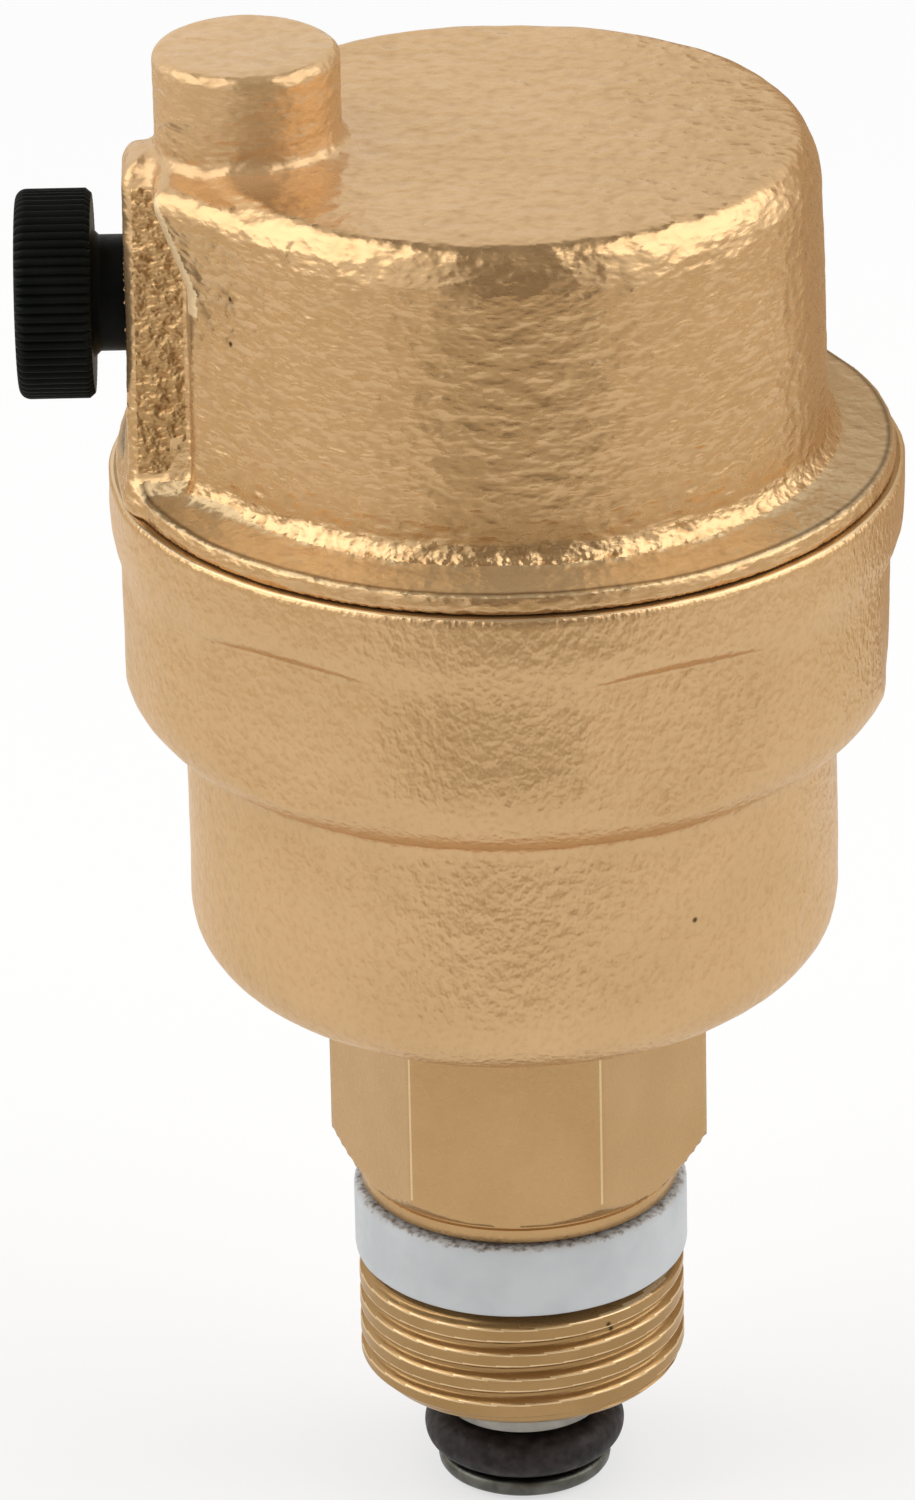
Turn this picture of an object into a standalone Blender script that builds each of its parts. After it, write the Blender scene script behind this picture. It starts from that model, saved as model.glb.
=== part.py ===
"""Automatic air release valve for heating and water pipes.

A brass body and its screwed cover hold a float. The float hangs on a lever that works a small
valve under the cover's boss, and the black knob on the side opens the vent behind that valve.
Lengths are in metres. Z is the axis of the inlet thread, and the origin is the underside of the
white seal ring, where it meets the mouth of the port. The knob points along -X. The pieces lie
as they do with no water inside: the float is down and the valve is open.
"""

from math import acos, copysign, cos, degrees, pi, radians, sin, sqrt, tan

import bmesh
import bpy
from mathutils import Matrix, Vector

MM = 0.001

# Clearances, and how far shapes that become one reach into each other
SEAT_GAP = 0.3 * MM
RUN_GAP = 0.12 * MM
OPEN_GAP = 0.6 * MM
OVERLAP = 0.4 * MM

# Inlet end: thread G 1/2, its seal ring, collar and wrench hexagon
THREAD_RADIUS = 10.4775 * MM
THREAD_LENGTH = 7.9 * MM
THREAD_CHAMFER = 1.0 * MM
NECK_RADIUS = 8.9 * MM
SEAL_RING_HEIGHT = 4.9 * MM
SEAL_RING_WIDTH = 1.55 * MM
SEAL_RING_EDGE = 0.4 * MM
COLLAR_RADIUS = 10.2 * MM
COLLAR_HEIGHT = 1.2 * MM
HEX_ACROSS_FLATS = 21.0 * MM
HEX_HEIGHT = 14.7 * MM
HEX_CHAMFER = 1.8 * MM
INLET_BORE = 5.5 * MM
BORE_STEP = 8.0 * MM

# Body
CLOCKING = radians(-5)
CUP_RADIUS = 20.55 * MM
CUP_ROUNDING = 5.0 * MM
CUP_HEIGHT = 17.2 * MM
DRUM_STEP = 3.9 * MM
DRUM_HEIGHT = 17.15 * MM
DRUM_ROUNDING = 5.0 * MM
RIM_STEP = 0.35 * MM
RIM_HEIGHT = 3.6 * MM
RIM_CHAMFER = 0.35 * MM
RIM_BLEND = 1.6 * MM
FLAT_DEPTH = 0.8 * MM
FLATS_BELOW_RIM = 5.0 * MM
BODY_WALL = 2.3 * MM
FLOOR_THICKNESS = 2.5 * MM
CHAMBER_ROUNDING = 4.5 * MM
SEAL_POCKET = 1.7 * MM
RIM_LAND = 1.5 * MM
COVER_RING_SECTION = 0.7 * MM

# Cover
COVER_HEIGHT = 21.65 * MM
COVER_INSET = 4.55 * MM
COVER_DRAFT = 0.45 * MM
COVER_TOP_ROUNDING = 2.4 * MM
COVER_WALL = 2.3 * MM
FLANGE_INSET = 0.6 * MM
FLANGE_EDGE = 0.75 * MM
FLANGE_EDGE_ROUNDING = 0.3 * MM
FLANGE_SLOPE = 1.0 * MM
FOOT_FILLET = 2.0 * MM
SKIRT_WALL = 1.3 * MM
SKIRT_LENGTH = 8.0 * MM
BOSS_OFFSET = 15.5 * MM
BOSS_RADIUS = 5.85 * MM
BOSS_STAND = 5.7 * MM
BOSS_ROUNDING = 1.6 * MM
BOSS_BORE = 3.2 * MM
BOSS_ROOF = 4.0 * MM
BLOCK_REACH = 7.9 * MM
BLOCK_HALF_BASE = 8.0 * MM
BLOCK_HALF_TOP = 3.2 * MM
BLOCK_FLARE = 1.2 * MM
BLOCK_TOP_DROP = 0.5 * MM
BLOCK_ROUNDING = 1.5 * MM

# Vent knob, its neck in the block, and the washer in the neck's tip
KNOB_DROP = 10.5 * MM
KNOB_RADIUS = 6.5 * MM
KNOB_THICKNESS = 4.7 * MM
KNOB_STAND_OFF = 1.9 * MM
KNOB_EDGE = 0.7 * MM
KNOB_RIBS = 66
RIB_DEPTH = 0.22 * MM
KNOB_NECK_RADIUS = 3.6 * MM
KNOB_NECK_DEPTH = 3.2 * MM
KNOB_SOCKET_DEPTH = 4.0 * MM
VENT_HOLE_RADIUS = 1.1 * MM
WASHER_RADIUS = 2.6 * MM
WASHER_THICKNESS = 1.0 * MM
FLUTE_RADIUS = 0.55 * MM

# Inlet spigot and its O-ring
SPIGOT_RADIUS = 5.2 * MM
SPIGOT_REACH = 3.2 * MM
SPIGOT_BORE = 1.8 * MM
SPIGOT_HEAD_RADIUS = 7.0 * MM
SPIGOT_HEAD = 1.7 * MM
SPIGOT_RING_CENTRE = 5.05 * MM
SPIGOT_RING_SECTION = 1.45 * MM
SPIGOT_END_RADIUS = 5.6 * MM
SPIGOT_END = 1.2 * MM
SPIGOT_END_EDGE = 0.6 * MM

# Valve seat, screwed up into the boss
SEAT_RADIUS = 2.9 * MM
SEAT_GRIP = 3.4 * MM
SEAT_HEX_ACROSS = 6.6 * MM
SEAT_HEX = 1.3 * MM
SEAT_LIP = 0.3 * MM
SEAT_LIP_RADIUS = 1.9 * MM
ORIFICE_RADIUS = 1.25 * MM
SEAT_RING_SECTION = 0.4 * MM

# Stem, disc, spring, retainer and nut
STEM_RADIUS = 0.8 * MM
STEM_TIP = 0.5 * MM
DISC_RADIUS = 2.3 * MM
DISC_THICKNESS = 0.9 * MM
CUP_PLATE = 0.7 * MM
FORK_DROP = 2.1 * MM
FORK_END = 1.1 * MM
FORK_TINE = 0.8 * MM
FORK_HALF_WIDTH = 1.3 * MM
PIN_RADIUS = 0.5 * MM
SPRING_LENGTH = 6.3 * MM
SPRING_RADIUS = 2.25 * MM
SPRING_WIRE_RADIUS = 0.28 * MM
SPRING_TURNS = 5.5
RETAINER_RADIUS = 2.7 * MM
RETAINER_THICKNESS = 0.8 * MM
NUT_ACROSS = 3.4 * MM
NUT_HEIGHT = 1.4 * MM

# Lever and the bracket that carries its fulcrum
SWING = radians(20)
STEM_ARM = 2.8 * MM
FLOAT_ARM = 16.3 * MM
LEVER_HALF_DEPTH = 0.95 * MM
LEVER_HALF_THICKNESS = 0.7 * MM
FULCRUM_PIN_RADIUS = 0.55 * MM
BRACKET_SHEET = 0.5 * MM
BRACKET_COLLAR = 4.5 * MM
CHEEK_INNER = 3.7 * MM
CHEEK_HALF_WIDTH = 0.9 * MM
SPACER_RADIUS = 0.95 * MM
PIN_HEAD = 0.35 * MM

# Float
FLOAT_GAP = 1.35 * MM
FLOAT_WALL = 0.9 * MM
FLOAT_TOP_EDGE = 2.0 * MM
FLOAT_BASE_EDGE = 4.0 * MM
FLOAT_BASE_HEIGHT = 5.0 * MM
FLOAT_BASE_LIP = 2.2 * MM
LUG_THICKNESS = 0.8 * MM
LUG_END = 1.5 * MM

# How large an axis is drawn in the 3-D view
AXIS_MARK = 5 * MM

# Facets round a full turn
ROUND = 40
FLOAT_ROUND = 32
SMALL_ROUND = 24
PIN_ROUND = 12
RING_SIDES = 8
SPRING_STEPS = 10

# Radii of what fits together, from the cup outwards and from the rim inwards
SEAL_RING_RADIUS = NECK_RADIUS + SEAT_GAP + SEAL_RING_WIDTH
DRUM_RADIUS = CUP_RADIUS + DRUM_STEP
RIM_RADIUS = DRUM_RADIUS + RIM_STEP
FLATS_ACROSS = 2 * (DRUM_RADIUS - FLAT_DEPTH)
FLANGE_RADIUS = RIM_RADIUS - FLANGE_INSET
COVER_RADIUS = FLANGE_RADIUS - COVER_INSET
COVER_FOOT_RADIUS = COVER_RADIUS + COVER_DRAFT
MOUTH_RADIUS = RIM_RADIUS - RIM_LAND - SEAL_POCKET
SKIRT_RADIUS = MOUTH_RADIUS - SEAT_GAP
CHAMBER_RADIUS = CUP_RADIUS - BODY_WALL
FLOAT_RADIUS = CHAMBER_RADIUS - FLOAT_GAP
BLOCK_FACE = BOSS_OFFSET + BLOCK_REACH

# Levels along Z, from the inlet up
COLLAR_BOTTOM = SEAL_RING_HEIGHT + SEAT_GAP
COLLAR_TOP = COLLAR_BOTTOM + COLLAR_HEIGHT
BODY_BOTTOM = COLLAR_TOP + HEX_HEIGHT
SHOULDER = BODY_BOTTOM + CUP_HEIGHT
RIM_TOP = SHOULDER + DRUM_HEIGHT
THREAD_TOP = -SEAT_GAP
THREAD_END = THREAD_TOP - THREAD_LENGTH
CHAMBER_FLOOR = BODY_BOTTOM + FLOOR_THICKNESS
COVER_BOTTOM = RIM_TOP + SEAT_GAP
COVER_TOP = COVER_BOTTOM + COVER_HEIGHT
BOSS_TOP = COVER_TOP + BOSS_STAND
KNOB_LEVEL = COVER_TOP - KNOB_DROP

# Levels of the valve, from the vent hole down. "Shut" is with the float up.
SEAT_TOP = KNOB_LEVEL - VENT_HOLE_RADIUS - SEAT_GAP
POCKET_TOP = SEAT_TOP - SEAT_GRIP
BRACKET_TOP = POCKET_TOP - SEAT_GAP
SEAT_HEX_TOP = BRACKET_TOP - BRACKET_SHEET - SEAT_GAP
SEAT_BOTTOM = SEAT_HEX_TOP - SEAT_HEX
DISC_TOP_SHUT = SEAT_BOTTOM - SEAT_LIP - SEAT_GAP
CUP_TOP_SHUT = DISC_TOP_SHUT - DISC_THICKNESS - SEAT_GAP
FULCRUM_LEVEL = CUP_TOP_SHUT - CUP_PLATE - FORK_DROP

# Travel of the stem and the float as the lever swings, and where they lie with the float down
STEM_TRAVEL = STEM_ARM * tan(SWING)
FLOAT_TRAVEL = FLOAT_ARM * sin(SWING)
FULCRUM_X = -BOSS_OFFSET - STEM_ARM
FLOAT_PIN_LEVEL = FULCRUM_LEVEL - FLOAT_TRAVEL
FLOAT_TOP = FLOAT_PIN_LEVEL - LEVER_HALF_DEPTH - OPEN_GAP
FLOAT_BOTTOM = CHAMBER_FLOOR + SEAT_GAP

# Name, colour, metallic and roughness of each material
BRASS = ("brass_cast", (0.66, 0.47, 0.24), 1.0, 0.42)
SEAT_BRASS = ("brass_turned", (0.72, 0.55, 0.30), 1.0, 0.25)
STEEL = ("stainless_steel", (0.62, 0.62, 0.60), 1.0, 0.30)
SPRING_STEEL = ("spring_steel", (0.45, 0.45, 0.46), 1.0, 0.35)
GREY_METAL = ("grey_metal", (0.34, 0.33, 0.31), 1.0, 0.45)
WHITE_SEAL = ("white_seal", (0.58, 0.60, 0.61), 0.0, 0.50)
RUBBER = ("black_rubber", (0.025, 0.022, 0.022), 0.0, 0.60)
KNOB_PLASTIC = ("black_plastic", (0.008, 0.009, 0.008), 0.0, 0.35)
FLOAT_PLASTIC = ("float_plastic", (0.72, 0.72, 0.68), 0.0, 0.45)


# Tools for the shapes

def material(kind):
    """A Principled material of its own for one piece"""
    name, colour, metallic, roughness = kind
    made = bpy.data.materials.new(name)
    made.use_nodes = True
    shader = made.node_tree.nodes["Principled BSDF"]
    shader.inputs["Base Color"].default_value = (*colour, 1.0)
    shader.inputs["Metallic"].default_value = metallic
    shader.inputs["Roughness"].default_value = roughness
    return made


def place(name, data, kind=None):
    """A new object: a piece of the valve where it has a material, and a cutter or filler if not"""
    made = bpy.data.objects.new(name, data)
    if kind is None:
        cutters.objects.link(made)
        made.hide_render = True
        made.display_type = 'WIRE'
    else:
        parts.objects.link(made)
        data.materials.append(material(kind))
    return made


def place_bmesh(name, shape, kind=None):
    mesh = bpy.data.meshes.new(name)
    shape.to_mesh(mesh)
    shape.free()
    return place(name, mesh, kind)


def arc(centre, radius, start, end, steps):
    """Points of an arc, from one angle in degrees to another"""
    turns = [radians(start + (end - start) * i / steps) for i in range(steps + 1)]
    return [(centre[0] + radius * cos(t), centre[1] + radius * sin(t)) for t in turns]


def turned(name, points, kind=None, closed=False, steps=ROUND, x=0):
    """A turned shape about Z, from (radius, height) points that run down its outer side"""
    mesh = bpy.data.meshes.new(name)
    edges = [(i, i + 1) for i in range(len(points) - 1)]
    if closed:
        edges.append((len(points) - 1, 0))
    mesh.from_pydata([(radius, 0, height) for radius, height in points], edges, [])
    made = place(name, mesh, kind)
    made.location.x = x
    screw = made.modifiers.new("turn", 'SCREW')
    screw.steps = steps
    screw.render_steps = steps
    screw.use_merge_vertices = True
    screw.merge_threshold = 0.00001
    return made


def ring(name, centre, section, level, steps=ROUND, x=0):
    """An O-ring that lies flat"""
    points = arc((centre, level), section, 0, -360 + 360 / RING_SIDES, RING_SIDES - 1)
    return turned(name, points, RUBBER, closed=True, steps=steps, x=x)


def box(name, low, high, kind=None):
    """A box between two corners"""
    shape = bmesh.new()
    bmesh.ops.create_cube(shape, size=1)
    for vert in shape.verts:
        vert.co = [high[i] if vert.co[i] > 0 else low[i] for i in range(3)]
    return place_bmesh(name, shape, kind)


def rod(name, radius, start, end, kind=None, sides=SMALL_ROUND, spin=0):
    """A straight bar between two points, round or with a few flat sides"""
    start, end = Vector(start), Vector(end)
    shape = bmesh.new()
    bmesh.ops.create_cone(shape, cap_ends=True, segments=sides, radius1=radius, radius2=radius,
                          depth=(end - start).length)
    aim = (end - start).to_track_quat('Z', 'Y').to_matrix().to_4x4()
    shape.transform(Matrix.Translation((start + end) / 2) @ aim @ Matrix.Rotation(spin, 4, 'Z'))
    return place_bmesh(name, shape, kind)


def corner_radius(across_flats):
    """From the middle of a hexagon to its corners"""
    return across_flats / 2 / cos(pi / 6)


def boolean(target, operation, *tools):
    for tool in tools:
        step = target.modifiers.new(tool.name, 'BOOLEAN')
        step.operation = operation
        step.solver = 'EXACT'
        step.object = tool


def axis_empty(name, location, rotation=(0, 0, 0)):
    """An empty on the axis of a joint"""
    made = bpy.data.objects.new(name, None)
    made.empty_display_size = AXIS_MARK
    made.location = location
    made.rotation_euler = rotation
    parts.objects.link(made)
    return made


def hang(parent, *children, in_place=True):
    """Parents pieces to an empty, either where they are or as drawn in the empty's own frame"""
    here = Matrix.LocRotScale(parent.location, parent.rotation_euler, None)
    for child in children:
        child.parent = parent
        if in_place:
            child.matrix_parent_inverse = here.inverted()


# Body and what seals it

def body_outline():
    """Outside of the body, without its hexagon, from the rim down to the thread's end"""
    reach = DRUM_ROUNDING - DRUM_STEP
    drum_centre = (DRUM_RADIUS - DRUM_ROUNDING, SHOULDER + sqrt(DRUM_ROUNDING ** 2 - reach ** 2))
    cup_centre = (CUP_RADIUS - CUP_ROUNDING, BODY_BOTTOM + CUP_ROUNDING)
    core = HEX_ACROSS_FLATS / 2 - OVERLAP
    return [
        (0, RIM_TOP),
        (RIM_RADIUS - RIM_CHAMFER, RIM_TOP),
        (RIM_RADIUS, RIM_TOP - RIM_CHAMFER),
        (RIM_RADIUS, RIM_TOP - RIM_HEIGHT),
        (DRUM_RADIUS, RIM_TOP - RIM_HEIGHT - RIM_BLEND),
        *arc(drum_centre, DRUM_ROUNDING, 0, -degrees(acos(reach / DRUM_ROUNDING)), 5),
        *arc(cup_centre, CUP_ROUNDING, 0, -90, 6),
        (core, BODY_BOTTOM),
        (core, COLLAR_TOP),
        (COLLAR_RADIUS, COLLAR_TOP),
        (COLLAR_RADIUS, COLLAR_BOTTOM),
        (NECK_RADIUS, COLLAR_BOTTOM),
        (NECK_RADIUS, THREAD_TOP),
        (THREAD_RADIUS, THREAD_TOP),
        (THREAD_RADIUS, THREAD_END + THREAD_CHAMFER),
        (THREAD_RADIUS - THREAD_CHAMFER, THREAD_END),
        (0, THREAD_END),
    ]


def chamber_outline():
    """Inside of the body, from above its mouth down through the inlet bore"""
    pocket_floor = RIM_TOP - SEAL_POCKET - SEAT_GAP
    corner = (CHAMBER_RADIUS - CHAMBER_ROUNDING, CHAMBER_FLOOR + CHAMBER_ROUNDING)
    head = SPIGOT_HEAD_RADIUS + SEAT_GAP
    return [
        (0, RIM_TOP + OVERLAP),
        (MOUTH_RADIUS + SEAL_POCKET, RIM_TOP + OVERLAP),
        (MOUTH_RADIUS + SEAL_POCKET, pocket_floor),
        (MOUTH_RADIUS, pocket_floor),
        (MOUTH_RADIUS, SHOULDER + DRUM_ROUNDING - BODY_WALL / 2),
        (CHAMBER_RADIUS, SHOULDER - BODY_WALL / 2),
        *arc(corner, CHAMBER_ROUNDING, 0, -90, 4),
        (head, CHAMBER_FLOOR),
        (head, BORE_STEP),
        (INLET_BORE, BORE_STEP),
        (INLET_BORE, THREAD_END - OVERLAP),
        (0, THREAD_END - OVERLAP),
    ]


def make_body():
    """Forged brass body: drum and cup in one, wrench flats, hexagon, collar and thread"""
    body = turned("body", body_outline(), BRASS)
    corner = corner_radius(HEX_ACROSS_FLATS)
    hexagon = rod("hexagon", corner, (0, 0, COLLAR_TOP - OVERLAP), (0, 0, BODY_BOTTOM + OVERLAP),
                  sides=6, spin=CLOCKING + pi / 6)
    inner = COLLAR_RADIUS - OVERLAP
    chamfer = turned("hexagon_chamfer", [
        (0, BODY_BOTTOM + BODY_WALL),
        (corner + OVERLAP, BODY_BOTTOM + BODY_WALL),
        (corner + OVERLAP, COLLAR_TOP + HEX_CHAMFER * (corner + OVERLAP - inner) / (corner - inner)),
        (inner, COLLAR_TOP),
        (inner, COLLAR_TOP - BODY_WALL),
        (0, COLLAR_TOP - BODY_WALL),
    ])
    boolean(hexagon, 'INTERSECT', chamfer)
    flat_ring = rod("flat_ring", RIM_RADIUS + OVERLAP, (0, 0, SHOULDER - OVERLAP),
                    (0, 0, RIM_TOP - FLATS_BELOW_RIM), sides=ROUND)
    flats = rod("wrench_flats", corner_radius(FLATS_ACROSS), (0, 0, BODY_BOTTOM),
                (0, 0, RIM_TOP), sides=6, spin=CLOCKING)
    boolean(flat_ring, 'DIFFERENCE', flats)
    boolean(body, 'UNION', hexagon)
    boolean(body, 'DIFFERENCE', flat_ring, turned("chamber", chamber_outline()))


def make_seals():
    """The O-ring below the cover's flange and the white ring on the thread's neck"""
    level = RIM_TOP - SEAL_POCKET + COVER_RING_SECTION
    middle = (SKIRT_RADIUS + MOUTH_RADIUS + SEAL_POCKET) / 2
    ring("cover_oring", middle, COVER_RING_SECTION, level)
    inner = NECK_RADIUS + SEAT_GAP
    turned("seal_ring", [
        (inner, SEAL_RING_HEIGHT),
        (SEAL_RING_RADIUS - SEAL_RING_EDGE, SEAL_RING_HEIGHT),
        (SEAL_RING_RADIUS, SEAL_RING_HEIGHT - SEAL_RING_EDGE),
        (SEAL_RING_RADIUS, SEAL_RING_EDGE),
        (SEAL_RING_RADIUS - SEAL_RING_EDGE, 0),
        (inner, 0),
    ], WHITE_SEAL, closed=True)


def make_spigot():
    """Grey metal tube dropped into the inlet bore, which carries an O-ring below the thread"""
    head_bottom = BORE_STEP + SEAT_GAP
    groove_top = THREAD_END - SPIGOT_REACH
    ring_level = groove_top - SEAT_GAP - SPIGOT_RING_SECTION
    groove_bottom = ring_level - SPIGOT_RING_SECTION - SEAT_GAP
    groove = SPIGOT_RING_CENTRE - SPIGOT_RING_SECTION - SEAT_GAP
    bottom = groove_bottom - SPIGOT_END
    turned("inlet_spigot", [
        (SPIGOT_BORE, head_bottom + SPIGOT_HEAD),
        (SPIGOT_HEAD_RADIUS, head_bottom + SPIGOT_HEAD),
        (SPIGOT_HEAD_RADIUS, head_bottom),
        (SPIGOT_RADIUS, head_bottom),
        (SPIGOT_RADIUS, groove_top),
        (groove, groove_top),
        (groove, groove_bottom),
        (SPIGOT_END_RADIUS, groove_bottom),
        (SPIGOT_END_RADIUS, bottom + SPIGOT_END_EDGE),
        (SPIGOT_END_RADIUS - SPIGOT_END_EDGE, bottom),
        (SPIGOT_BORE, bottom),
    ], GREY_METAL, closed=True)
    ring("spigot_oring", SPIGOT_RING_CENTRE, SPIGOT_RING_SECTION, ring_level)


# Cover

def cover_outline():
    """Outside of the bell, its flange and the skirt that screws into the body"""
    top_centre = (COVER_RADIUS - COVER_TOP_ROUNDING, COVER_TOP - COVER_TOP_ROUNDING)
    edge_top = COVER_BOTTOM + FLANGE_EDGE
    foot = edge_top + FLANGE_EDGE_ROUNDING + FLANGE_SLOPE
    return [
        (0, COVER_TOP),
        *arc(top_centre, COVER_TOP_ROUNDING, 90, 0, 5),
        *arc((COVER_FOOT_RADIUS + FOOT_FILLET, foot + FOOT_FILLET), FOOT_FILLET, 180, 260, 5),
        (FLANGE_RADIUS - FLANGE_EDGE_ROUNDING, edge_top + FLANGE_EDGE_ROUNDING),
        (FLANGE_RADIUS, edge_top),
        (FLANGE_RADIUS, COVER_BOTTOM),
        (SKIRT_RADIUS, COVER_BOTTOM),
        (SKIRT_RADIUS, COVER_BOTTOM - SKIRT_LENGTH),
        (0, COVER_BOTTOM - SKIRT_LENGTH),
    ]


def dome_outline():
    """Inside of the cover, from the dome's roof down through the skirt"""
    roof = COVER_TOP - COVER_WALL
    top = COVER_RADIUS - COVER_WALL
    skirt = SKIRT_RADIUS - SKIRT_WALL
    foot = COVER_BOTTOM + FLANGE_EDGE + FLANGE_EDGE_ROUNDING + FLANGE_SLOPE
    below = COVER_BOTTOM - SKIRT_LENGTH - OVERLAP
    return [
        (0, roof),
        (top - COVER_TOP_ROUNDING, roof),
        (top, roof - COVER_TOP_ROUNDING),
        (COVER_FOOT_RADIUS - COVER_WALL, foot + FOOT_FILLET),
        (skirt, foot - FOOT_FILLET / 2),
        (skirt, below),
        (0, below),
    ]


def side_block():
    """The cast block below the boss: flat on its outer face and narrower towards its top"""
    low = COVER_BOTTOM + FLANGE_EDGE / 2
    high = COVER_TOP - BLOCK_TOP_DROP
    block = box("side_block", (-BLOCK_FACE, -BLOCK_HALF_BASE, low),
                (-BOSS_OFFSET, BLOCK_HALF_BASE, high))
    shape = bmesh.new()
    shape.from_mesh(block.data)
    rounded = shape.edges.layers.float.new("bevel_weight_edge")
    upper = [vert for vert in shape.verts if vert.co.z > (low + high) / 2]
    outer = [vert for vert in shape.verts if vert.co.x < -(BLOCK_FACE + BOSS_OFFSET) / 2]
    for vert in upper:
        vert.co.y *= BLOCK_HALF_TOP / BLOCK_HALF_BASE
    for vert in shape.verts:
        if vert not in outer:
            vert.co.y += copysign(BLOCK_FLARE, vert.co.y)
    for edge in shape.edges:
        on_top = all(vert in upper for vert in edge.verts)
        on_corner = all(vert in outer for vert in edge.verts) and any(v in upper for v in edge.verts)
        edge[rounded] = float(on_top or on_corner)
    shape.to_mesh(block.data)
    shape.free()
    bevel = block.modifiers.new("rounding", 'BEVEL')
    bevel.limit_method = 'WEIGHT'
    bevel.width = BLOCK_ROUNDING
    bevel.segments = 3
    return block


def make_cover():
    """Cast brass cover: bell, flange, skirt, boss and side block, bored from below and the side"""
    cover = turned("cover", cover_outline(), BRASS)
    boss_centre = (BOSS_RADIUS - BOSS_ROUNDING, BOSS_TOP - BOSS_ROUNDING)
    boss = turned("boss", [
        (0, BOSS_TOP),
        *arc(boss_centre, BOSS_ROUNDING, 90, 0, 4),
        (BOSS_RADIUS, KNOB_LEVEL),
        (0, KNOB_LEVEL),
    ], steps=SMALL_ROUND, x=-BOSS_OFFSET)
    boolean(cover, 'UNION', boss, side_block())
    cheek_corner = Vector((STEM_ARM + CHEEK_HALF_WIDTH, CHEEK_INNER + BRACKET_SHEET))
    low = (-BOSS_OFFSET, 0, COVER_BOTTOM)
    pocket = rod("valve_pocket", cheek_corner.length + OPEN_GAP, low, (-BOSS_OFFSET, 0, POCKET_TOP))
    bore = rod("boss_bore", BOSS_BORE, low, (-BOSS_OFFSET, 0, BOSS_TOP - BOSS_ROOF))
    socket = rod("knob_socket", KNOB_NECK_RADIUS + SEAT_GAP, (-BLOCK_FACE - OVERLAP, 0, KNOB_LEVEL),
                 (-BLOCK_FACE + KNOB_SOCKET_DEPTH, 0, KNOB_LEVEL))
    vent = rod("vent_hole", VENT_HOLE_RADIUS, (-BLOCK_FACE, 0, KNOB_LEVEL),
               (-BOSS_OFFSET, 0, KNOB_LEVEL), sides=PIN_ROUND)
    boolean(cover, 'DIFFERENCE', turned("dome", dome_outline()), pocket, bore, socket, vent)


# Vent knob. Its frame has Z along the knob's axis, outwards, with zero at the block's face.

def ribbed_head():
    """The knob's head: a disc with fine straight ribs and a rounded outer edge"""
    shape = bmesh.new()
    bmesh.ops.create_circle(shape, segments=2 * KNOB_RIBS, radius=KNOB_RADIUS)
    for i, vert in enumerate(shape.verts):
        if i % 2:
            vert.co.xy *= 1 - RIB_DEPTH / KNOB_RADIUS
        vert.co.z = KNOB_STAND_OFF
    edges = shape.edges[:]
    top = KNOB_STAND_OFF + KNOB_THICKNESS
    half = KNOB_EDGE * (1 - sqrt(0.5))
    inset = 0
    for level, wanted in ((top - KNOB_EDGE, 0), (top - half, half), (top, KNOB_EDGE)):
        made = bmesh.ops.extrude_edge_only(shape, edges=edges)["geom"]
        edges = [item for item in made if isinstance(item, bmesh.types.BMEdge)]
        for vert in {vert for edge in edges for vert in edge.verts}:
            vert.co.z = level
            vert.co.xy *= (KNOB_RADIUS - wanted) / (KNOB_RADIUS - inset)
        inset = wanted
    bmesh.ops.holes_fill(shape, edges=shape.edges[:], sides=0)
    bmesh.ops.recalc_face_normals(shape, faces=shape.faces[:])
    return place_bmesh("vent_knob", shape, KNOB_PLASTIC)


def make_knob():
    """Black vent knob with its neck, and the rubber washer that shuts the vent hole"""
    axis = axis_empty("knob_axis", (-BLOCK_FACE, 0, KNOB_LEVEL), (0, -pi / 2, 0))
    knob = ribbed_head()
    washer_top = SEAT_GAP - KNOB_SOCKET_DEPTH + WASHER_THICKNESS
    recess = WASHER_RADIUS + SEAT_GAP
    neck = turned("knob_neck", [
        (0, KNOB_STAND_OFF + KNOB_EDGE),
        (KNOB_NECK_RADIUS, KNOB_STAND_OFF + KNOB_EDGE),
        (KNOB_NECK_RADIUS, -KNOB_NECK_DEPTH),
        (recess, -KNOB_NECK_DEPTH),
        (recess, washer_top + SEAT_GAP),
        (0, washer_top + SEAT_GAP),
    ], steps=SMALL_ROUND)
    flute = rod("vent_flute", FLUTE_RADIUS, (-KNOB_NECK_RADIUS, 0, -KNOB_NECK_DEPTH - OVERLAP),
                (-KNOB_NECK_RADIUS, 0, KNOB_STAND_OFF - SEAT_GAP), sides=PIN_ROUND)
    boolean(knob, 'UNION', neck)
    boolean(knob, 'DIFFERENCE', flute)
    washer = turned("vent_washer", [
        (0, washer_top),
        (WASHER_RADIUS, washer_top),
        (WASHER_RADIUS, washer_top - WASHER_THICKNESS),
        (0, washer_top - WASHER_THICKNESS),
    ], RUBBER, steps=SMALL_ROUND)
    hang(axis, knob, neck, flute, washer, in_place=False)


# Valve under the boss

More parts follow.
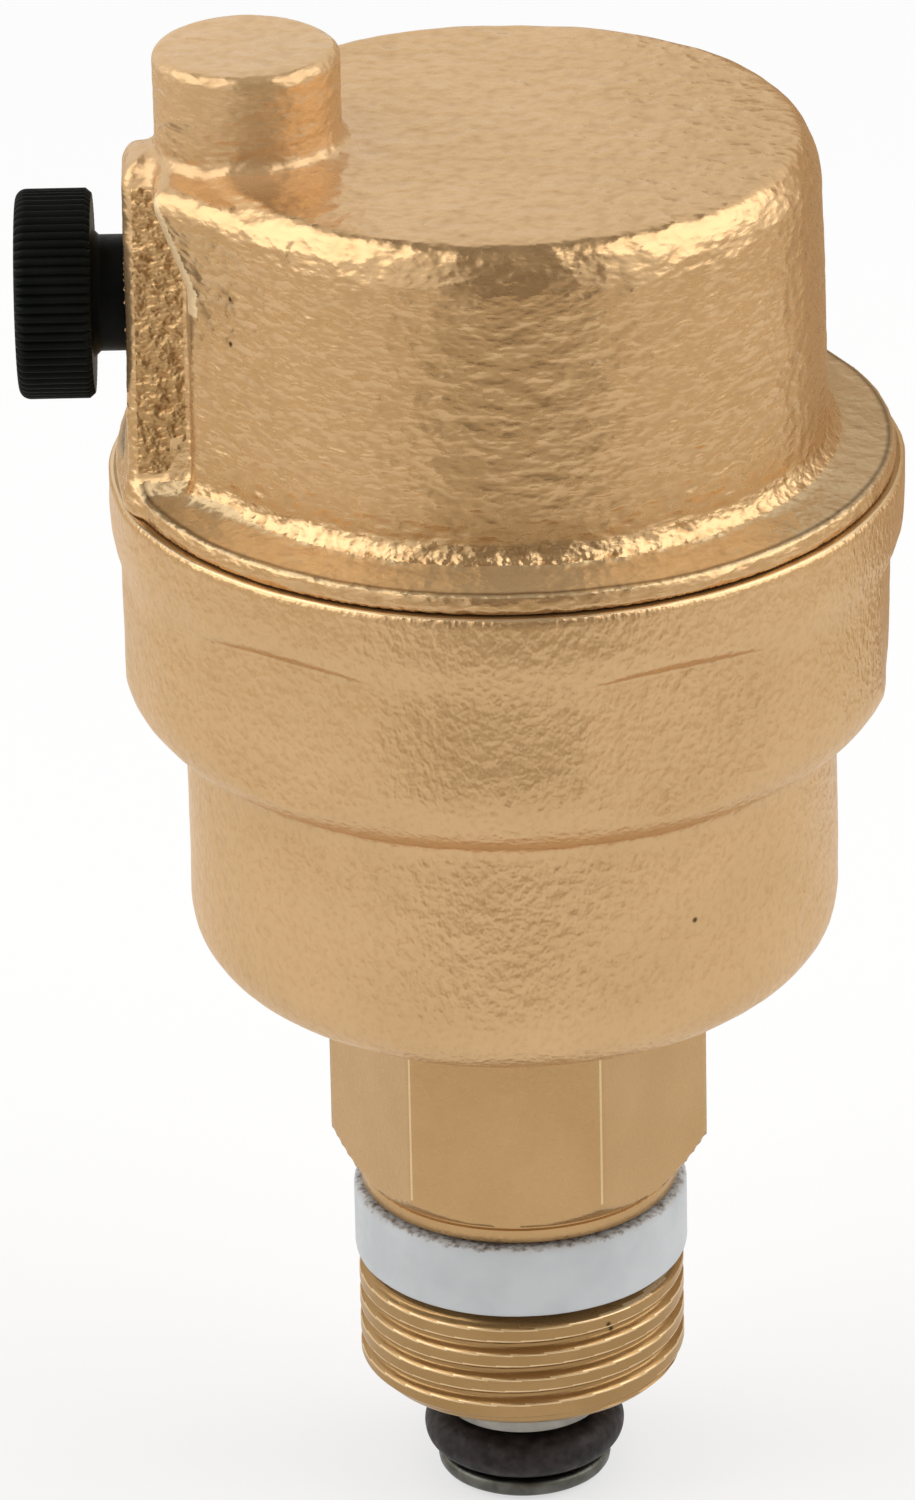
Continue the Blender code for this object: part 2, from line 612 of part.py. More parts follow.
def make_seat():
    """Turned brass seat with a hexagon, held in the boss, and its O-ring"""
    groove = SEAT_RADIUS - 2 * SEAT_RING_SECTION - SEAT_GAP
    ring_level = POCKET_TOP + SEAT_GRIP / 2
    half_groove = SEAT_RING_SECTION + SEAT_GAP
    seat = turned("valve_seat", [
        (0, SEAT_TOP),
        (SEAT_RADIUS, SEAT_TOP),
        (SEAT_RADIUS, ring_level + half_groove),
        (groove, ring_level + half_groove),
        (groove, ring_level - half_groove),
        (SEAT_RADIUS, ring_level - half_groove),
        (SEAT_RADIUS, SEAT_BOTTOM + OVERLAP),
        (SEAT_LIP_RADIUS, SEAT_BOTTOM + OVERLAP),
        (SEAT_LIP_RADIUS, SEAT_BOTTOM - SEAT_LIP),
        (0, SEAT_BOTTOM - SEAT_LIP),
    ], SEAT_BRASS, steps=SMALL_ROUND, x=-BOSS_OFFSET)
    hexagon = rod("seat_hexagon", corner_radius(SEAT_HEX_ACROSS), (-BOSS_OFFSET, 0, SEAT_BOTTOM),
                  (-BOSS_OFFSET, 0, SEAT_HEX_TOP), sides=6)
    orifice = rod("orifice", ORIFICE_RADIUS, (-BOSS_OFFSET, 0, SEAT_BOTTOM - SEAT_LIP - OVERLAP),
                  (-BOSS_OFFSET, 0, SEAT_TOP + OVERLAP))
    boolean(seat, 'UNION', hexagon)
    boolean(seat, 'DIFFERENCE', orifice)
    ring("seat_oring", SEAT_RADIUS - SEAT_RING_SECTION, SEAT_RING_SECTION, ring_level,
         steps=SMALL_ROUND, x=-BOSS_OFFSET)


def make_stem():
    """Stem with its plate and fork, the disc on the plate, the pin, the retainer and its nut"""
    retainer_bottom = SEAT_TOP + SEAT_GAP + SPRING_LENGTH + SEAT_GAP
    nut_bottom = retainer_bottom + RETAINER_THICKNESS + SEAT_GAP
    plate_top = CUP_TOP_SHUT - STEM_TRAVEL
    plate_bottom = plate_top - CUP_PLATE
    pin_level = FULCRUM_LEVEL - STEM_TRAVEL
    stem = turned("valve_stem", [
        (0, nut_bottom + NUT_HEIGHT + STEM_TIP),
        (STEM_RADIUS, nut_bottom + NUT_HEIGHT + STEM_TIP),
        (STEM_RADIUS, plate_top),
        (DISC_RADIUS, plate_top),
        (DISC_RADIUS, plate_bottom),
        (0, plate_bottom),
    ], STEEL, steps=SMALL_ROUND, x=-BOSS_OFFSET)
    slot = LEVER_HALF_THICKNESS + SEAT_GAP
    slot_top = pin_level + LEVER_HALF_DEPTH / cos(SWING) + FORK_HALF_WIDTH * tan(SWING) + RUN_GAP
    left, right = -BOSS_OFFSET - FORK_HALF_WIDTH, -BOSS_OFFSET + FORK_HALF_WIDTH
    fork = box("fork", (left, -slot - FORK_TINE, pin_level - FORK_END),
               (right, slot + FORK_TINE, plate_bottom + OVERLAP))
    gap = box("fork_slot", (left - OVERLAP, -slot, pin_level - FORK_END - OVERLAP),
              (right + OVERLAP, slot, slot_top))
    reach = slot + FORK_TINE
    hole = rod("fork_hole", PIN_RADIUS + RUN_GAP, (-BOSS_OFFSET, -reach - OVERLAP, pin_level),
               (-BOSS_OFFSET, reach + OVERLAP, pin_level), sides=PIN_ROUND)
    boolean(stem, 'UNION', fork)
    boolean(stem, 'DIFFERENCE', gap, hole)
    disc = turned("valve_disc", [
        (STEM_RADIUS + SEAT_GAP, plate_top + SEAT_GAP + DISC_THICKNESS),
        (DISC_RADIUS, plate_top + SEAT_GAP + DISC_THICKNESS),
        (DISC_RADIUS, plate_top + SEAT_GAP),
        (STEM_RADIUS + SEAT_GAP, plate_top + SEAT_GAP),
    ], RUBBER, closed=True, steps=SMALL_ROUND, x=-BOSS_OFFSET)
    pin = rod("stem_pin", PIN_RADIUS, (-BOSS_OFFSET, -reach, pin_level),
              (-BOSS_OFFSET, reach, pin_level), STEEL, sides=PIN_ROUND)
    retainer = turned("spring_retainer", [
        (STEM_RADIUS + RUN_GAP, retainer_bottom + RETAINER_THICKNESS),
        (RETAINER_RADIUS, retainer_bottom + RETAINER_THICKNESS),
        (RETAINER_RADIUS, retainer_bottom),
        (STEM_RADIUS + RUN_GAP, retainer_bottom),
    ], STEEL, closed=True, steps=SMALL_ROUND, x=-BOSS_OFFSET)
    nut = rod("stem_nut", corner_radius(NUT_ACROSS), (-BOSS_OFFSET, 0, nut_bottom),
              (-BOSS_OFFSET, 0, nut_bottom + NUT_HEIGHT), STEEL, sides=6)
    nut_hole = rod("nut_hole", STEM_RADIUS + RUN_GAP, (-BOSS_OFFSET, 0, nut_bottom - OVERLAP),
                   (-BOSS_OFFSET, 0, nut_bottom + NUT_HEIGHT + OVERLAP))
    boolean(nut, 'DIFFERENCE', nut_hole)
    axis = axis_empty("stem_axis", (-BOSS_OFFSET, 0, pin_level))
    hang(axis, stem, fork, gap, hole, disc, pin, retainer, nut, nut_hole)


def make_spring():
    """Compression spring between the seat and the retainer"""
    radius = SPRING_RADIUS - SPRING_WIRE_RADIUS
    low = SEAT_TOP + SEAT_GAP + SPRING_WIRE_RADIUS
    rise = SPRING_LENGTH - 2 * SPRING_WIRE_RADIUS
    count = round(SPRING_TURNS * SPRING_STEPS)
    wire = bpy.data.curves.new("valve_spring", 'CURVE')
    wire.dimensions = '3D'
    wire.bevel_depth = SPRING_WIRE_RADIUS
    wire.bevel_resolution = 2
    wire.render_resolution_u = 0
    wire.use_fill_caps = True
    line = wire.splines.new('POLY')
    line.points.add(count)
    for i, point in enumerate(line.points):
        turn = 2 * pi * SPRING_TURNS * i / count
        point.co = (radius * cos(turn) - BOSS_OFFSET, radius * sin(turn), low + rise * i / count, 1)
    place("valve_spring", wire, SPRING_STEEL)


def make_bracket():
    """Bent sheet bracket that the seat clamps in the pocket, its fulcrum pin and two spacers"""
    sheet_bottom = BRACKET_TOP - BRACKET_SHEET
    outer = CHEEK_INNER + BRACKET_SHEET
    left, right = FULCRUM_X - CHEEK_HALF_WIDTH, FULCRUM_X + CHEEK_HALF_WIDTH
    bracket = box("lever_bracket", (left, -outer, sheet_bottom),
                  (-BOSS_OFFSET, outer, BRACKET_TOP), STEEL)
    collar = rod("bracket_collar", BRACKET_COLLAR, (-BOSS_OFFSET, 0, sheet_bottom),
                 (-BOSS_OFFSET, 0, BRACKET_TOP))
    boolean(bracket, 'UNION', collar)
    for name, side in (("front", -1), ("back", 1)):
        near, far = sorted((side * CHEEK_INNER, side * outer))
        cheek = box("cheek_" + name, (left, near, FULCRUM_LEVEL), (right, far, BRACKET_TOP))
        eye = rod("cheek_eye_" + name, CHEEK_HALF_WIDTH, (FULCRUM_X, near, FULCRUM_LEVEL),
                  (FULCRUM_X, far, FULCRUM_LEVEL))
        boolean(bracket, 'UNION', cheek, eye)
        start, end = side * (LEVER_HALF_THICKNESS + RUN_GAP), side * (CHEEK_INNER - RUN_GAP)
        spacer = rod("fulcrum_spacer_" + name, SPACER_RADIUS, (FULCRUM_X, start, FULCRUM_LEVEL),
                     (FULCRUM_X, end, FULCRUM_LEVEL), STEEL, sides=16)
        spacer_hole = rod("spacer_hole_" + name, FULCRUM_PIN_RADIUS + RUN_GAP,
                          (FULCRUM_X, start - side * OVERLAP, FULCRUM_LEVEL),
                          (FULCRUM_X, end + side * OVERLAP, FULCRUM_LEVEL), sides=PIN_ROUND)
        boolean(spacer, 'DIFFERENCE', spacer_hole)
    seat_hole = rod("seat_hole", SEAT_RADIUS + SEAT_GAP, (-BOSS_OFFSET, 0, sheet_bottom - OVERLAP),
                    (-BOSS_OFFSET, 0, BRACKET_TOP + OVERLAP))
    pin_hole = rod("fulcrum_hole", FULCRUM_PIN_RADIUS + RUN_GAP,
                   (FULCRUM_X, -outer - OVERLAP, FULCRUM_LEVEL),
                   (FULCRUM_X, outer + OVERLAP, FULCRUM_LEVEL), sides=PIN_ROUND)
    boolean(bracket, 'DIFFERENCE', seat_hole, pin_hole)
    pin = rod("fulcrum_pin", FULCRUM_PIN_RADIUS,
              (FULCRUM_X, -outer - RUN_GAP - PIN_HEAD / 2, FULCRUM_LEVEL),
              (FULCRUM_X, outer + PIN_HEAD, FULCRUM_LEVEL), STEEL, sides=PIN_ROUND)
    head = rod("pin_head", CHEEK_HALF_WIDTH, (FULCRUM_X, -outer - RUN_GAP - PIN_HEAD, FULCRUM_LEVEL),
               (FULCRUM_X, -outer - RUN_GAP, FULCRUM_LEVEL), sides=PIN_ROUND)
    boolean(pin, 'UNION', head)


def make_lever():
    """Float lever, drawn along its own X from the fulcrum, and the pin at its end"""
    axis = axis_empty("lever_axis", (FULCRUM_X, 0, FULCRUM_LEVEL), (0, SWING, 0))
    hole = PIN_RADIUS + RUN_GAP
    outlines = [
        arc((0, 0), LEVER_HALF_DEPTH, 90, 270, 8) + arc((FLOAT_ARM, 0), LEVER_HALF_DEPTH, -90, 90, 8),
        arc((0, 0), FULCRUM_PIN_RADIUS + RUN_GAP, 0, 330, 11),
        arc((STEM_ARM, 0), hole, 90, 270, 6) + arc((STEM_ARM / cos(SWING), 0), hole, -90, 90, 6),
        arc((FLOAT_ARM, 0), hole, 0, 330, 11),
    ]
    plate = bpy.data.curves.new("float_lever", 'CURVE')
    plate.dimensions = '2D'
    plate.fill_mode = 'BOTH'
    plate.extrude = LEVER_HALF_THICKNESS
    for outline in outlines:
        line = plate.splines.new('POLY')
        line.points.add(len(outline) - 1)
        line.use_cyclic_u = True
        for point, (x, y) in zip(line.points, outline):
            point.co = (x, y, 0, 1)
    lever = place("float_lever", plate, STEEL)
    lever.rotation_euler.x = pi / 2
    reach = LEVER_HALF_THICKNESS + SEAT_GAP + LUG_THICKNESS + SEAT_GAP
    pin = rod("float_pin", PIN_RADIUS, (FLOAT_ARM, -reach, 0), (FLOAT_ARM, reach, 0), STEEL,
              sides=PIN_ROUND)
    hang(axis, lever, pin, in_place=False)


# Float

def make_float():
    """Moulded float in two pieces: a shell with the lugs for the lever's pin, and its base"""
    joint = FLOAT_BOTTOM + FLOAT_BASE_HEIGHT
    inner = FLOAT_RADIUS - FLOAT_WALL
    edge = (FLOAT_RADIUS - FLOAT_TOP_EDGE, FLOAT_TOP - FLOAT_TOP_EDGE)
    shell = turned("float_shell", [
        (0, FLOAT_TOP),
        *arc(edge, FLOAT_TOP_EDGE, 90, 0, 3),
        (FLOAT_RADIUS, joint + SEAT_GAP),
        (inner, joint + SEAT_GAP),
        *arc(edge, FLOAT_TOP_EDGE - FLOAT_WALL, 0, 90, 2),
        (0, FLOAT_TOP - FLOAT_WALL),
    ], FLOAT_PLASTIC, steps=FLOAT_ROUND)
    pin_down = FULCRUM_X + FLOAT_ARM * cos(SWING)
    pin_up = FULCRUM_X + FLOAT_ARM
    hole = PIN_RADIUS + RUN_GAP
    near = LEVER_HALF_THICKNESS + SEAT_GAP
    far = near + LUG_THICKNESS
    for name, low, high in (("front", -far, -near), ("back", near, far)):
        lug = box("lug_" + name, (pin_down - LUG_END, low, FLOAT_TOP - FLOAT_WALL / 2),
                  (pin_up + LUG_END, high, FLOAT_PIN_LEVEL + LUG_END))
        boolean(shell, 'UNION', lug)
    ends = [rod("lug_hole", hole, (x, -far - OVERLAP, FLOAT_PIN_LEVEL),
                (x, far + OVERLAP, FLOAT_PIN_LEVEL), sides=PIN_ROUND) for x in (pin_down, pin_up)]
    half_slot = hole * cos(pi / PIN_ROUND)
    slot = box("lug_slot", (pin_down, -far - OVERLAP, FLOAT_PIN_LEVEL - half_slot),
               (pin_up, far + OVERLAP, FLOAT_PIN_LEVEL + half_slot))
    boolean(shell, 'DIFFERENCE', *ends, slot)
    corner = (FLOAT_RADIUS - FLOAT_BASE_EDGE, FLOAT_BOTTOM + FLOAT_BASE_EDGE)
    lip = inner - SEAT_GAP
    base = turned("float_base", [
        (0, FLOAT_BOTTOM + FLOAT_WALL),
        (corner[0], FLOAT_BOTTOM + FLOAT_WALL),
        (lip - FLOAT_WALL, joint - FLOAT_WALL),
        (lip - FLOAT_WALL, joint + FLOAT_BASE_LIP),
        (lip, joint + FLOAT_BASE_LIP),
        (lip, joint),
        (FLOAT_RADIUS, joint),
        *arc(corner, FLOAT_BASE_EDGE, 0, -90, 4),
        (0, FLOAT_BOTTOM),
    ], FLOAT_PLASTIC, steps=FLOAT_ROUND)
    axis = axis_empty("float_axis", (0, 0, FLOAT_BOTTOM))
    hang(axis, shell, base)


for old in list(bpy.data.objects):
    bpy.data.objects.remove(old)
parts = bpy.data.collections.new("air_release_valve")
cutters = bpy.data.collections.new("cutters")
bpy.context.scene.collection.children.link(parts)
bpy.context.scene.collection.children.link(cutters)
make_body()
make_seals()
make_spigot()
make_cover()
make_knob()
make_seat()
make_stem()
make_spring()
make_bracket()
make_lever()
make_float()
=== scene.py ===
"""Looks of the air release valve: its castings, thread, knob and seals in detail, over the CAD frame.

Lengths are in millimetres, and meshes are scaled to metres as they are made. Only the studio, under
Light, is in metres. Z is the axis of the inlet thread, with zero at the underside of the white seal
ring.
"""
from math import acos, cos, hypot, pi, radians, sin, sqrt

import bpy
import numpy as np
from mathutils import Matrix, Vector


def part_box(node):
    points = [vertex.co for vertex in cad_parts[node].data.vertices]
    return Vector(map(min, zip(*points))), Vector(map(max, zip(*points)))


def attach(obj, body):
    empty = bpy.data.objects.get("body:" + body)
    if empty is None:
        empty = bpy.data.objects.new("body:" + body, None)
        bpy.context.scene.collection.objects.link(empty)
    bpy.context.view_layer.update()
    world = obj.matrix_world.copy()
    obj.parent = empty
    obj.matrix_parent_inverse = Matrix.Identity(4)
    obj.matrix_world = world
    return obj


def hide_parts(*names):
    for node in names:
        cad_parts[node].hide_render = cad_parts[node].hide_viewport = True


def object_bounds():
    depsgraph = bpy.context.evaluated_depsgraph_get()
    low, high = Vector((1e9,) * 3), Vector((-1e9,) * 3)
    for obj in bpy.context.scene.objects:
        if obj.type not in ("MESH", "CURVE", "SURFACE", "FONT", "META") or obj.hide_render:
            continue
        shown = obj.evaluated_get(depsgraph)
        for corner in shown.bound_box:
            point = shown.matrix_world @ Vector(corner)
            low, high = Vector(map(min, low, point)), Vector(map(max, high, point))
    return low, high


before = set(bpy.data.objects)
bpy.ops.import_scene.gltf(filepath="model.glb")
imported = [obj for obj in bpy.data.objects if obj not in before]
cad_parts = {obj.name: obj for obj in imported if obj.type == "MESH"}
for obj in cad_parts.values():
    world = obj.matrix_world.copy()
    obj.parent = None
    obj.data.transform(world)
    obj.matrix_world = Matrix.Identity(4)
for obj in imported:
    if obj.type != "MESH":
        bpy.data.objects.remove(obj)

MM = 0.001
cad_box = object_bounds()


def box_mm(node):
    low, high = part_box(node)
    return low / MM, high / MM


# Sizes taken from the frame
body_low, body_high = box_mm("body")
cover_low, cover_high = box_mm("cover")
seal_high = box_mm("seal_ring")[1]
spigot_low = box_mm("inlet_spigot")[0]
oring_low, oring_high = box_mm("spigot_oring")
knob_low, knob_high = box_mm("vent_knob")
RIM_TOP = body_high.z
RIM_RADIUS = body_high.y
THREAD_END = body_low.z
COVER_BOTTOM = RIM_TOP + 0.3
FLANGE_UNDERSIDE = RIM_TOP + 0.12
FLANGE_RADIUS = cover_high.y
SKIRT_BOTTOM = cover_low.z
BOSS_TOP = cover_high.z
KNOB_STAND_OFF = 1.9
KNOB_THICKNESS = 4.7
BLOCK_FACE = -knob_low.x - KNOB_THICKNESS - KNOB_STAND_OFF
COVER_TOP = BOSS_TOP - 6.0
KNOB_LEVEL = (knob_low.z + knob_high.z) / 2
KNOB_RADIUS = (knob_high.z - knob_low.z) / 2

# Body
CLOCKING = radians(-5)
THREAD_RADIUS = 10.4775
THREAD_TOP = -0.3
THREAD_PITCH = 1.814
THREAD_DEPTH = 0.5
THREAD_CREST = 0.45
THREAD_FLANK = 0.42
THREAD_ROOT_ROUNDING = 0.6
THREAD_RUN_IN = 0.5
THREAD_CHAMFER = 1.0
THREAD_END_EDGE = 0.1
THREAD_STEP = 0.06
CREST_HIGHLIGHT_HALF = 0.07
CREST_HIGHLIGHT_BOTTOM = THREAD_END + THREAD_CHAMFER + 0.3
NECK_RADIUS = 8.9
NECK_BOTTOM = THREAD_TOP + 0.3
COLLAR_RADIUS = 10.2
COLLAR_BOTTOM = 5.2
COLLAR_TOP = 6.4
COLLAR_EDGE = 0.1
COLLAR_LIP = 0.03
COLLAR_GROOVE = 0.12
COLLAR_GROOVE_START, COLLAR_GROOVE_END, COLLAR_SIDE_START = 0.08, 0.2, 0.3
HEX_HALF_FLATS = 10.5
HEX_CHAMFER = 1.8
HEX_CHAMFER_OUT = 0.15
HEX_CORNER_CUT = 0.05
HEX_STEP = 0.3
HEX_SHELF_SHARES = (0.3, 0.6, 0.85)
HEX_SHELF_OUT = 0.12
HEX_EDGE_OUT, HEX_EDGE_DROP, HEX_SIDE_DROP = 0.04, 0.05, 0.2
CORNER_NEAR, CORNER_HIGHLIGHT_HALF = radians(1.5), radians(0.3)
CORNER_GATHER = 0.65
BODY_BOTTOM = COLLAR_TOP + 14.7
CUP_RADIUS = 20.55
SHOULDER = BODY_BOTTOM + 17.2
DRUM_RADIUS = CUP_RADIUS + 3.9
CASTING_ROUNDING = 5.0
FLAT_HALF = DRUM_RADIUS - 0.8
FLAT_TOP = RIM_TOP - 5.0
FLAT_RUN_OUT = 1.1
FLAT_ROUNDING = 0.15
RIM_HEIGHT = 3.6
RIM_EDGE = 0.35
RIM_CONE = 1.6
RIM_LAND = 0.12
RIM_LAND_DROP, RIM_SIDE_DROP = 0.08, 0.3
CASTING_FOOT = 2.2
CASTING_SOFTNESS = 0.8
CASTING_STEP = 0.2
MOUTH_RADIUS = RIM_RADIUS - 3.2
SEAL_POCKET = 1.7
CHAMBER_RADIUS = CUP_RADIUS - 2.3
CHAMBER_FLOOR = BODY_BOTTOM + 2.5
SPIGOT_HEAD = 7.3
BORE_STEP = 8.0
INLET_BORE = 5.5
INLET_CHAMFER = 0.4
CHAMBER_ROUNDING = 4.5
CHAMBER_STEP_BOTTOM = SHOULDER - 1.15
CHAMBER_STEP_TOP = SHOULDER + 3.85
SEAL_GAP = 0.3
BODY_INSET = 0.06
BODY_WAVES, BODY_DIMPLES = (0.028, 9.0), (0.010, 2.2)

# Cover
COVER_RADIUS = FLANGE_RADIUS - 4.55
COVER_DRAFT = 0.45
COVER_WALL = 2.3
COVER_INSET = 0.09
COVER_WAVES, COVER_DIMPLES = (0.02, 10.0), (0.010, 2.2)
DIMPLE_STRETCH = (1, 1, 1.6)
FLANGE_EDGE = 1.05
FLANGE_SLOPE = 0.12
FLANGE_SLOPE_COSINE = 0.99
FLANGE_ROUNDING = 0.3
FLANGE_BOTTOM_ROUNDING = 0.15
BELL_FOOT = COVER_BOTTOM + 2.05
TOP_ROUNDING = 5.0
TOP_CUT = 1.65
TOP_EDGE = 0.45
DOME_ROUNDING = 2.4
FOOT_FILLET = 1.3
SKIRT_GAP = 0.3
SKIRT_TOP = COVER_BOTTOM + 1
BOSS_OFFSET = 15.5
BOSS_RADIUS = 5.85
BOSS_ROUNDING = 0.8
BOSS_FILLET = 0.7
BOSS_CAP = 4.0
SEAT_BORE = 3.2
POCKET_RADIUS = 6.2
POCKET_TOP = 62.2
SOCKET_RADIUS = 3.9
SOCKET_DEPTH = 4.0
VENT_RADIUS = 1.1
BLOCK_FILLET = 0.35
BLOCK_EDGE = 0.8
BLOCK_TOP_EDGE = 1.8
BLOCK_DROP = 0.5
BLOCK_BACK = BOSS_OFFSET - 6
BLOCK_HALF = 27.57
BLOCK_TAPER = 0.2
BLOCK_LEAN = 0.267
FLANK_START = BLOCK_FACE - 4.0
FLANK_OFF = 7.0
FLANK_LEAN = 0.13
FLANK_EDGE = 0.35
FLANK_FILLET = 0.2
FLANK_END_COSINE = 0.93
SIDE_FOOT = 57.0
FLANK_BEND = COVER_TOP - 6.9
FLANK_SLOPE = 0.39

# Seals and spigot
RING_GAP = 0.3
SEAL_INSET = 0.04
SEAL_EDGE = 0.45
SEAL_CLEARANCE = 0.02
SPIGOT_BORE = 1.8
SPIGOT_FLANGE = 7.0
SPIGOT_FLANGE_BOTTOM = BORE_STEP + 0.3
SPIGOT_TOP = BORE_STEP + 2.0
SPIGOT_SHANK = 5.2
GROOVE_RADIUS = 3.3
GROOVE_GAP = 0.3
GROOVE_EDGE = 0.4
GROOVE_LIP = (0.15, 0.05)
SPIGOT_END_EDGE = 0.6
WOBBLES = ((3, 1, 1.0), (7, 2, 0.6), (13, 0, 0.4))

# Knob
KNOB_RIBS = 66
KNOB_COLUMNS = KNOB_RIBS * 8
RIB_DEPTH = 0.26
RIB_REACH = 0.9
RIB_FADE = 0.6
CAP_RADIUS = 0.4
KNOB_EDGE = 0.7
KNOB_BACK_EDGE = 0.35
KNOB_BACK_CUT = 0.3
NECK_OUT = 3.6
NECK_TIP = 2.9
NECK_FILLET = 0.4
NECK_LENGTH = 3.2
WASHER_SEAT = 2.6

# Meshes
COLUMNS = 360
STEP = 0.25
LATHE_STEP = 0.15
KNOB_STEP = 0.2
SHARP_ANGLE = radians(50)
BELL_REACH = 2.5
WAVE_LENGTHS = (0.6, 1.5)
GRADIENT_REACH = 0.02
LEAST_SLOPE = 0.1
NET_MARGIN = 1.5
NET_ROUNDS = 3


# Camera at the photograph's angle, fitted to the rims of the object in the photograph
IMAGE_HEIGHT = 1500
FOCAL_PIXELS = 9980.0
DISTANCE = 643.9
PITCH = radians(25.61)
ROLL = radians(1.19)
SHIFT_ACROSS, SHIFT_UP, AIM_LEVEL = 4.083, -30.52, 1.18


def make_camera():
    right, up = Vector((1, 0, 0)), Vector((0, sin(PITCH), cos(PITCH)))
    back = Vector((0, -cos(PITCH), sin(PITCH)))
    across = right * cos(ROLL) - up * sin(ROLL)
    above = right * sin(ROLL) + up * cos(ROLL)
    place = back * DISTANCE - across * SHIFT_ACROSS - above * SHIFT_UP + Vector((0, 0, AIM_LEVEL))
    data = bpy.data.cameras.new("camera")
    data.sensor_width = 36
    data.lens = data.sensor_width * FOCAL_PIXELS / IMAGE_HEIGHT
    data.clip_start, data.clip_end = 0.01, 20
    camera = bpy.data.objects.new("camera", data)
    bpy.context.scene.collection.objects.link(camera)
    turn = Matrix((across, above, back)).transposed().to_4x4()
    camera.matrix_world = Matrix.Translation(place * MM) @ turn
    bpy.context.scene.camera = camera


# Materials

BRASS_METALLIC = 0.78
HOLLOW_BRASS = (0.30, 0.15, 0.05)
EDGE_TINT = (1.0, 0.92, 0.80)
PATCHES = (0.35, 0.65)
GRAIN = (0.3, 0.7)
HOLLOWS = (0.3, 0.5)
COARSE_GRAIN = 0.45
# Painted shade in small holes and nicks that have no hollow in the mesh
HOLE_CORE, HOLE_EDGE, HOLE_SHADE_DARKNESS = 0.10, 0.24, 0.9
HOLE_SHADE_COLOUR = (0.03, 0.015, 0.006)
SMUDGES, SMUDGE_DARKNESS = (1.33, 1.6), 0.9
CREASE_SHADE_DARKNESS = 0.8
TURNED_MARKS, PLAIN_MARKS = (0.25, 0.25, 3.0), (1.0, 1.0, 1.0)
MARK_DEPTH = 0.018


def shader(name):
    """A new material, its node tree and its Principled shader"""
    made = bpy.data.materials.new(name)
    made.use_nodes = True
    return made, made.node_tree, made.node_tree.nodes["Principled BSDF"]


def noise(tree, scale, detail=2.0, stretch=(1, 1, 1), roughness=0.5, seed=0.0):
    """Noise in the object's own coordinates, with scale in waves per millimetre"""
    coordinates = tree.nodes.new("ShaderNodeTexCoord")
    mapping = tree.nodes.new("ShaderNodeMapping")
    mapping.inputs["Scale"].default_value = stretch
    mapping.inputs["Location"].default_value = (seed, seed, seed)
    made = tree.nodes.new("ShaderNodeTexNoise")
    made.inputs["Scale"].default_value = scale / MM
    made.inputs["Detail"].default_value = detail
    made.inputs["Roughness"].default_value = roughness
    tree.links.new(coordinates.outputs["Object"], mapping.inputs["Vector"])
    tree.links.new(mapping.outputs["Vector"], made.inputs["Vector"])
    return made.outputs["Fac"]


def ramp(tree, source, low, high, start, end):
    """Carries source over from low..high to start..end"""
    made = tree.nodes.new("ShaderNodeMapRange")
    for socket, value in (("From Min", low), ("From Max", high), ("To Min", start), ("To Max", end)):
        made.inputs[socket].default_value = value
    tree.links.new(source, made.inputs["Value"])
    return made.outputs["Result"]


def blend(tree, factor, first, second):
    """Mixes two colours, each a value or a socket"""
    made = tree.nodes.new("ShaderNodeMix")
    made.data_type = 'RGBA'
    for name, value in (("A", first), ("B", second)):
        found = [item for item in made.inputs if item.name == name and item.type == 'RGBA'][0]
        if isinstance(value, tuple):
            found.default_value = (*value, 1)
        else:
            tree.links.new(value, found)
    tree.links.new(factor, made.inputs["Factor"])
    return [item for item in made.outputs if item.type == 'RGBA'][0]


def patched(tree, scale, detail, first, second):
    """Two near colours in soft patches"""
    patches = noise(tree, scale, detail=detail)
    return blend(tree, ramp(tree, patches, *PATCHES, 0, 1), first, second)


def bumps(tree, target, layers):
    """Chains bumps, each a height and how many millimetres it stands, into the shader's normal"""
    last = None
    for height, distance in layers:
        made = tree.nodes.new("ShaderNodeBump")
        made.inputs["Distance"].default_value = distance * MM
        tree.links.new(height, made.inputs["Height"])
        if last is not None:
            tree.links.new(last, made.inputs["Normal"])
        last = made.outputs["Normal"]
    tree.links.new(last, target.inputs["Normal"])


def cast_brass(name, tones, stretch, grain, depth, smooth, rough, pits=0.16, swell=1.5, holes=(),
               metallic=BRASS_METALLIC):
    """Brass as cast and blasted, with grain in waves per millimetre and a depth in millimetres"""
    made, tree, principled = shader(name)
    principled.inputs["Metallic"].default_value = metallic
    principled.inputs["Specular Tint"].default_value = (*EDGE_TINT, 1)
    colour = patched(tree, 0.12, 3, *tones)
    fine = noise(tree, grain, detail=1.5, stretch=stretch)
    coarse = noise(tree, grain * COARSE_GRAIN, detail=1, stretch=stretch, seed=3.0)
    hollow = ramp(tree, fine, *HOLLOWS, pits, 0)
    colour = blend(tree, hollow, colour, HOLLOW_BRASS)
    tree.links.new(with_hole_shade(tree, colour, holes), principled.inputs["Base Color"])
    tree.links.new(ramp(tree, fine, *GRAIN, rough, smooth), principled.inputs["Roughness"])
    bumps(tree, principled, [(coarse, depth * swell), (fine, depth)])
    return made


def ring_distance(tree, centre):
    """Distance from an upright line through a point in millimetres"""
    coordinates = tree.nodes.new("ShaderNodeTexCoord")
    level = tree.nodes.new("ShaderNodeVectorMath")
    level.operation = 'MULTIPLY'
    level.inputs[1].default_value = (1, 1, 0)
    tree.links.new(coordinates.outputs["Object"], level.inputs[0])
    apart = tree.nodes.new("ShaderNodeVectorMath")
    apart.operation = 'DISTANCE'
    apart.inputs[1].default_value = (centre[0] * MM, centre[1] * MM, 0)
    tree.links.new(level.outputs["Vector"], apart.inputs[0])
    return apart.outputs["Value"]


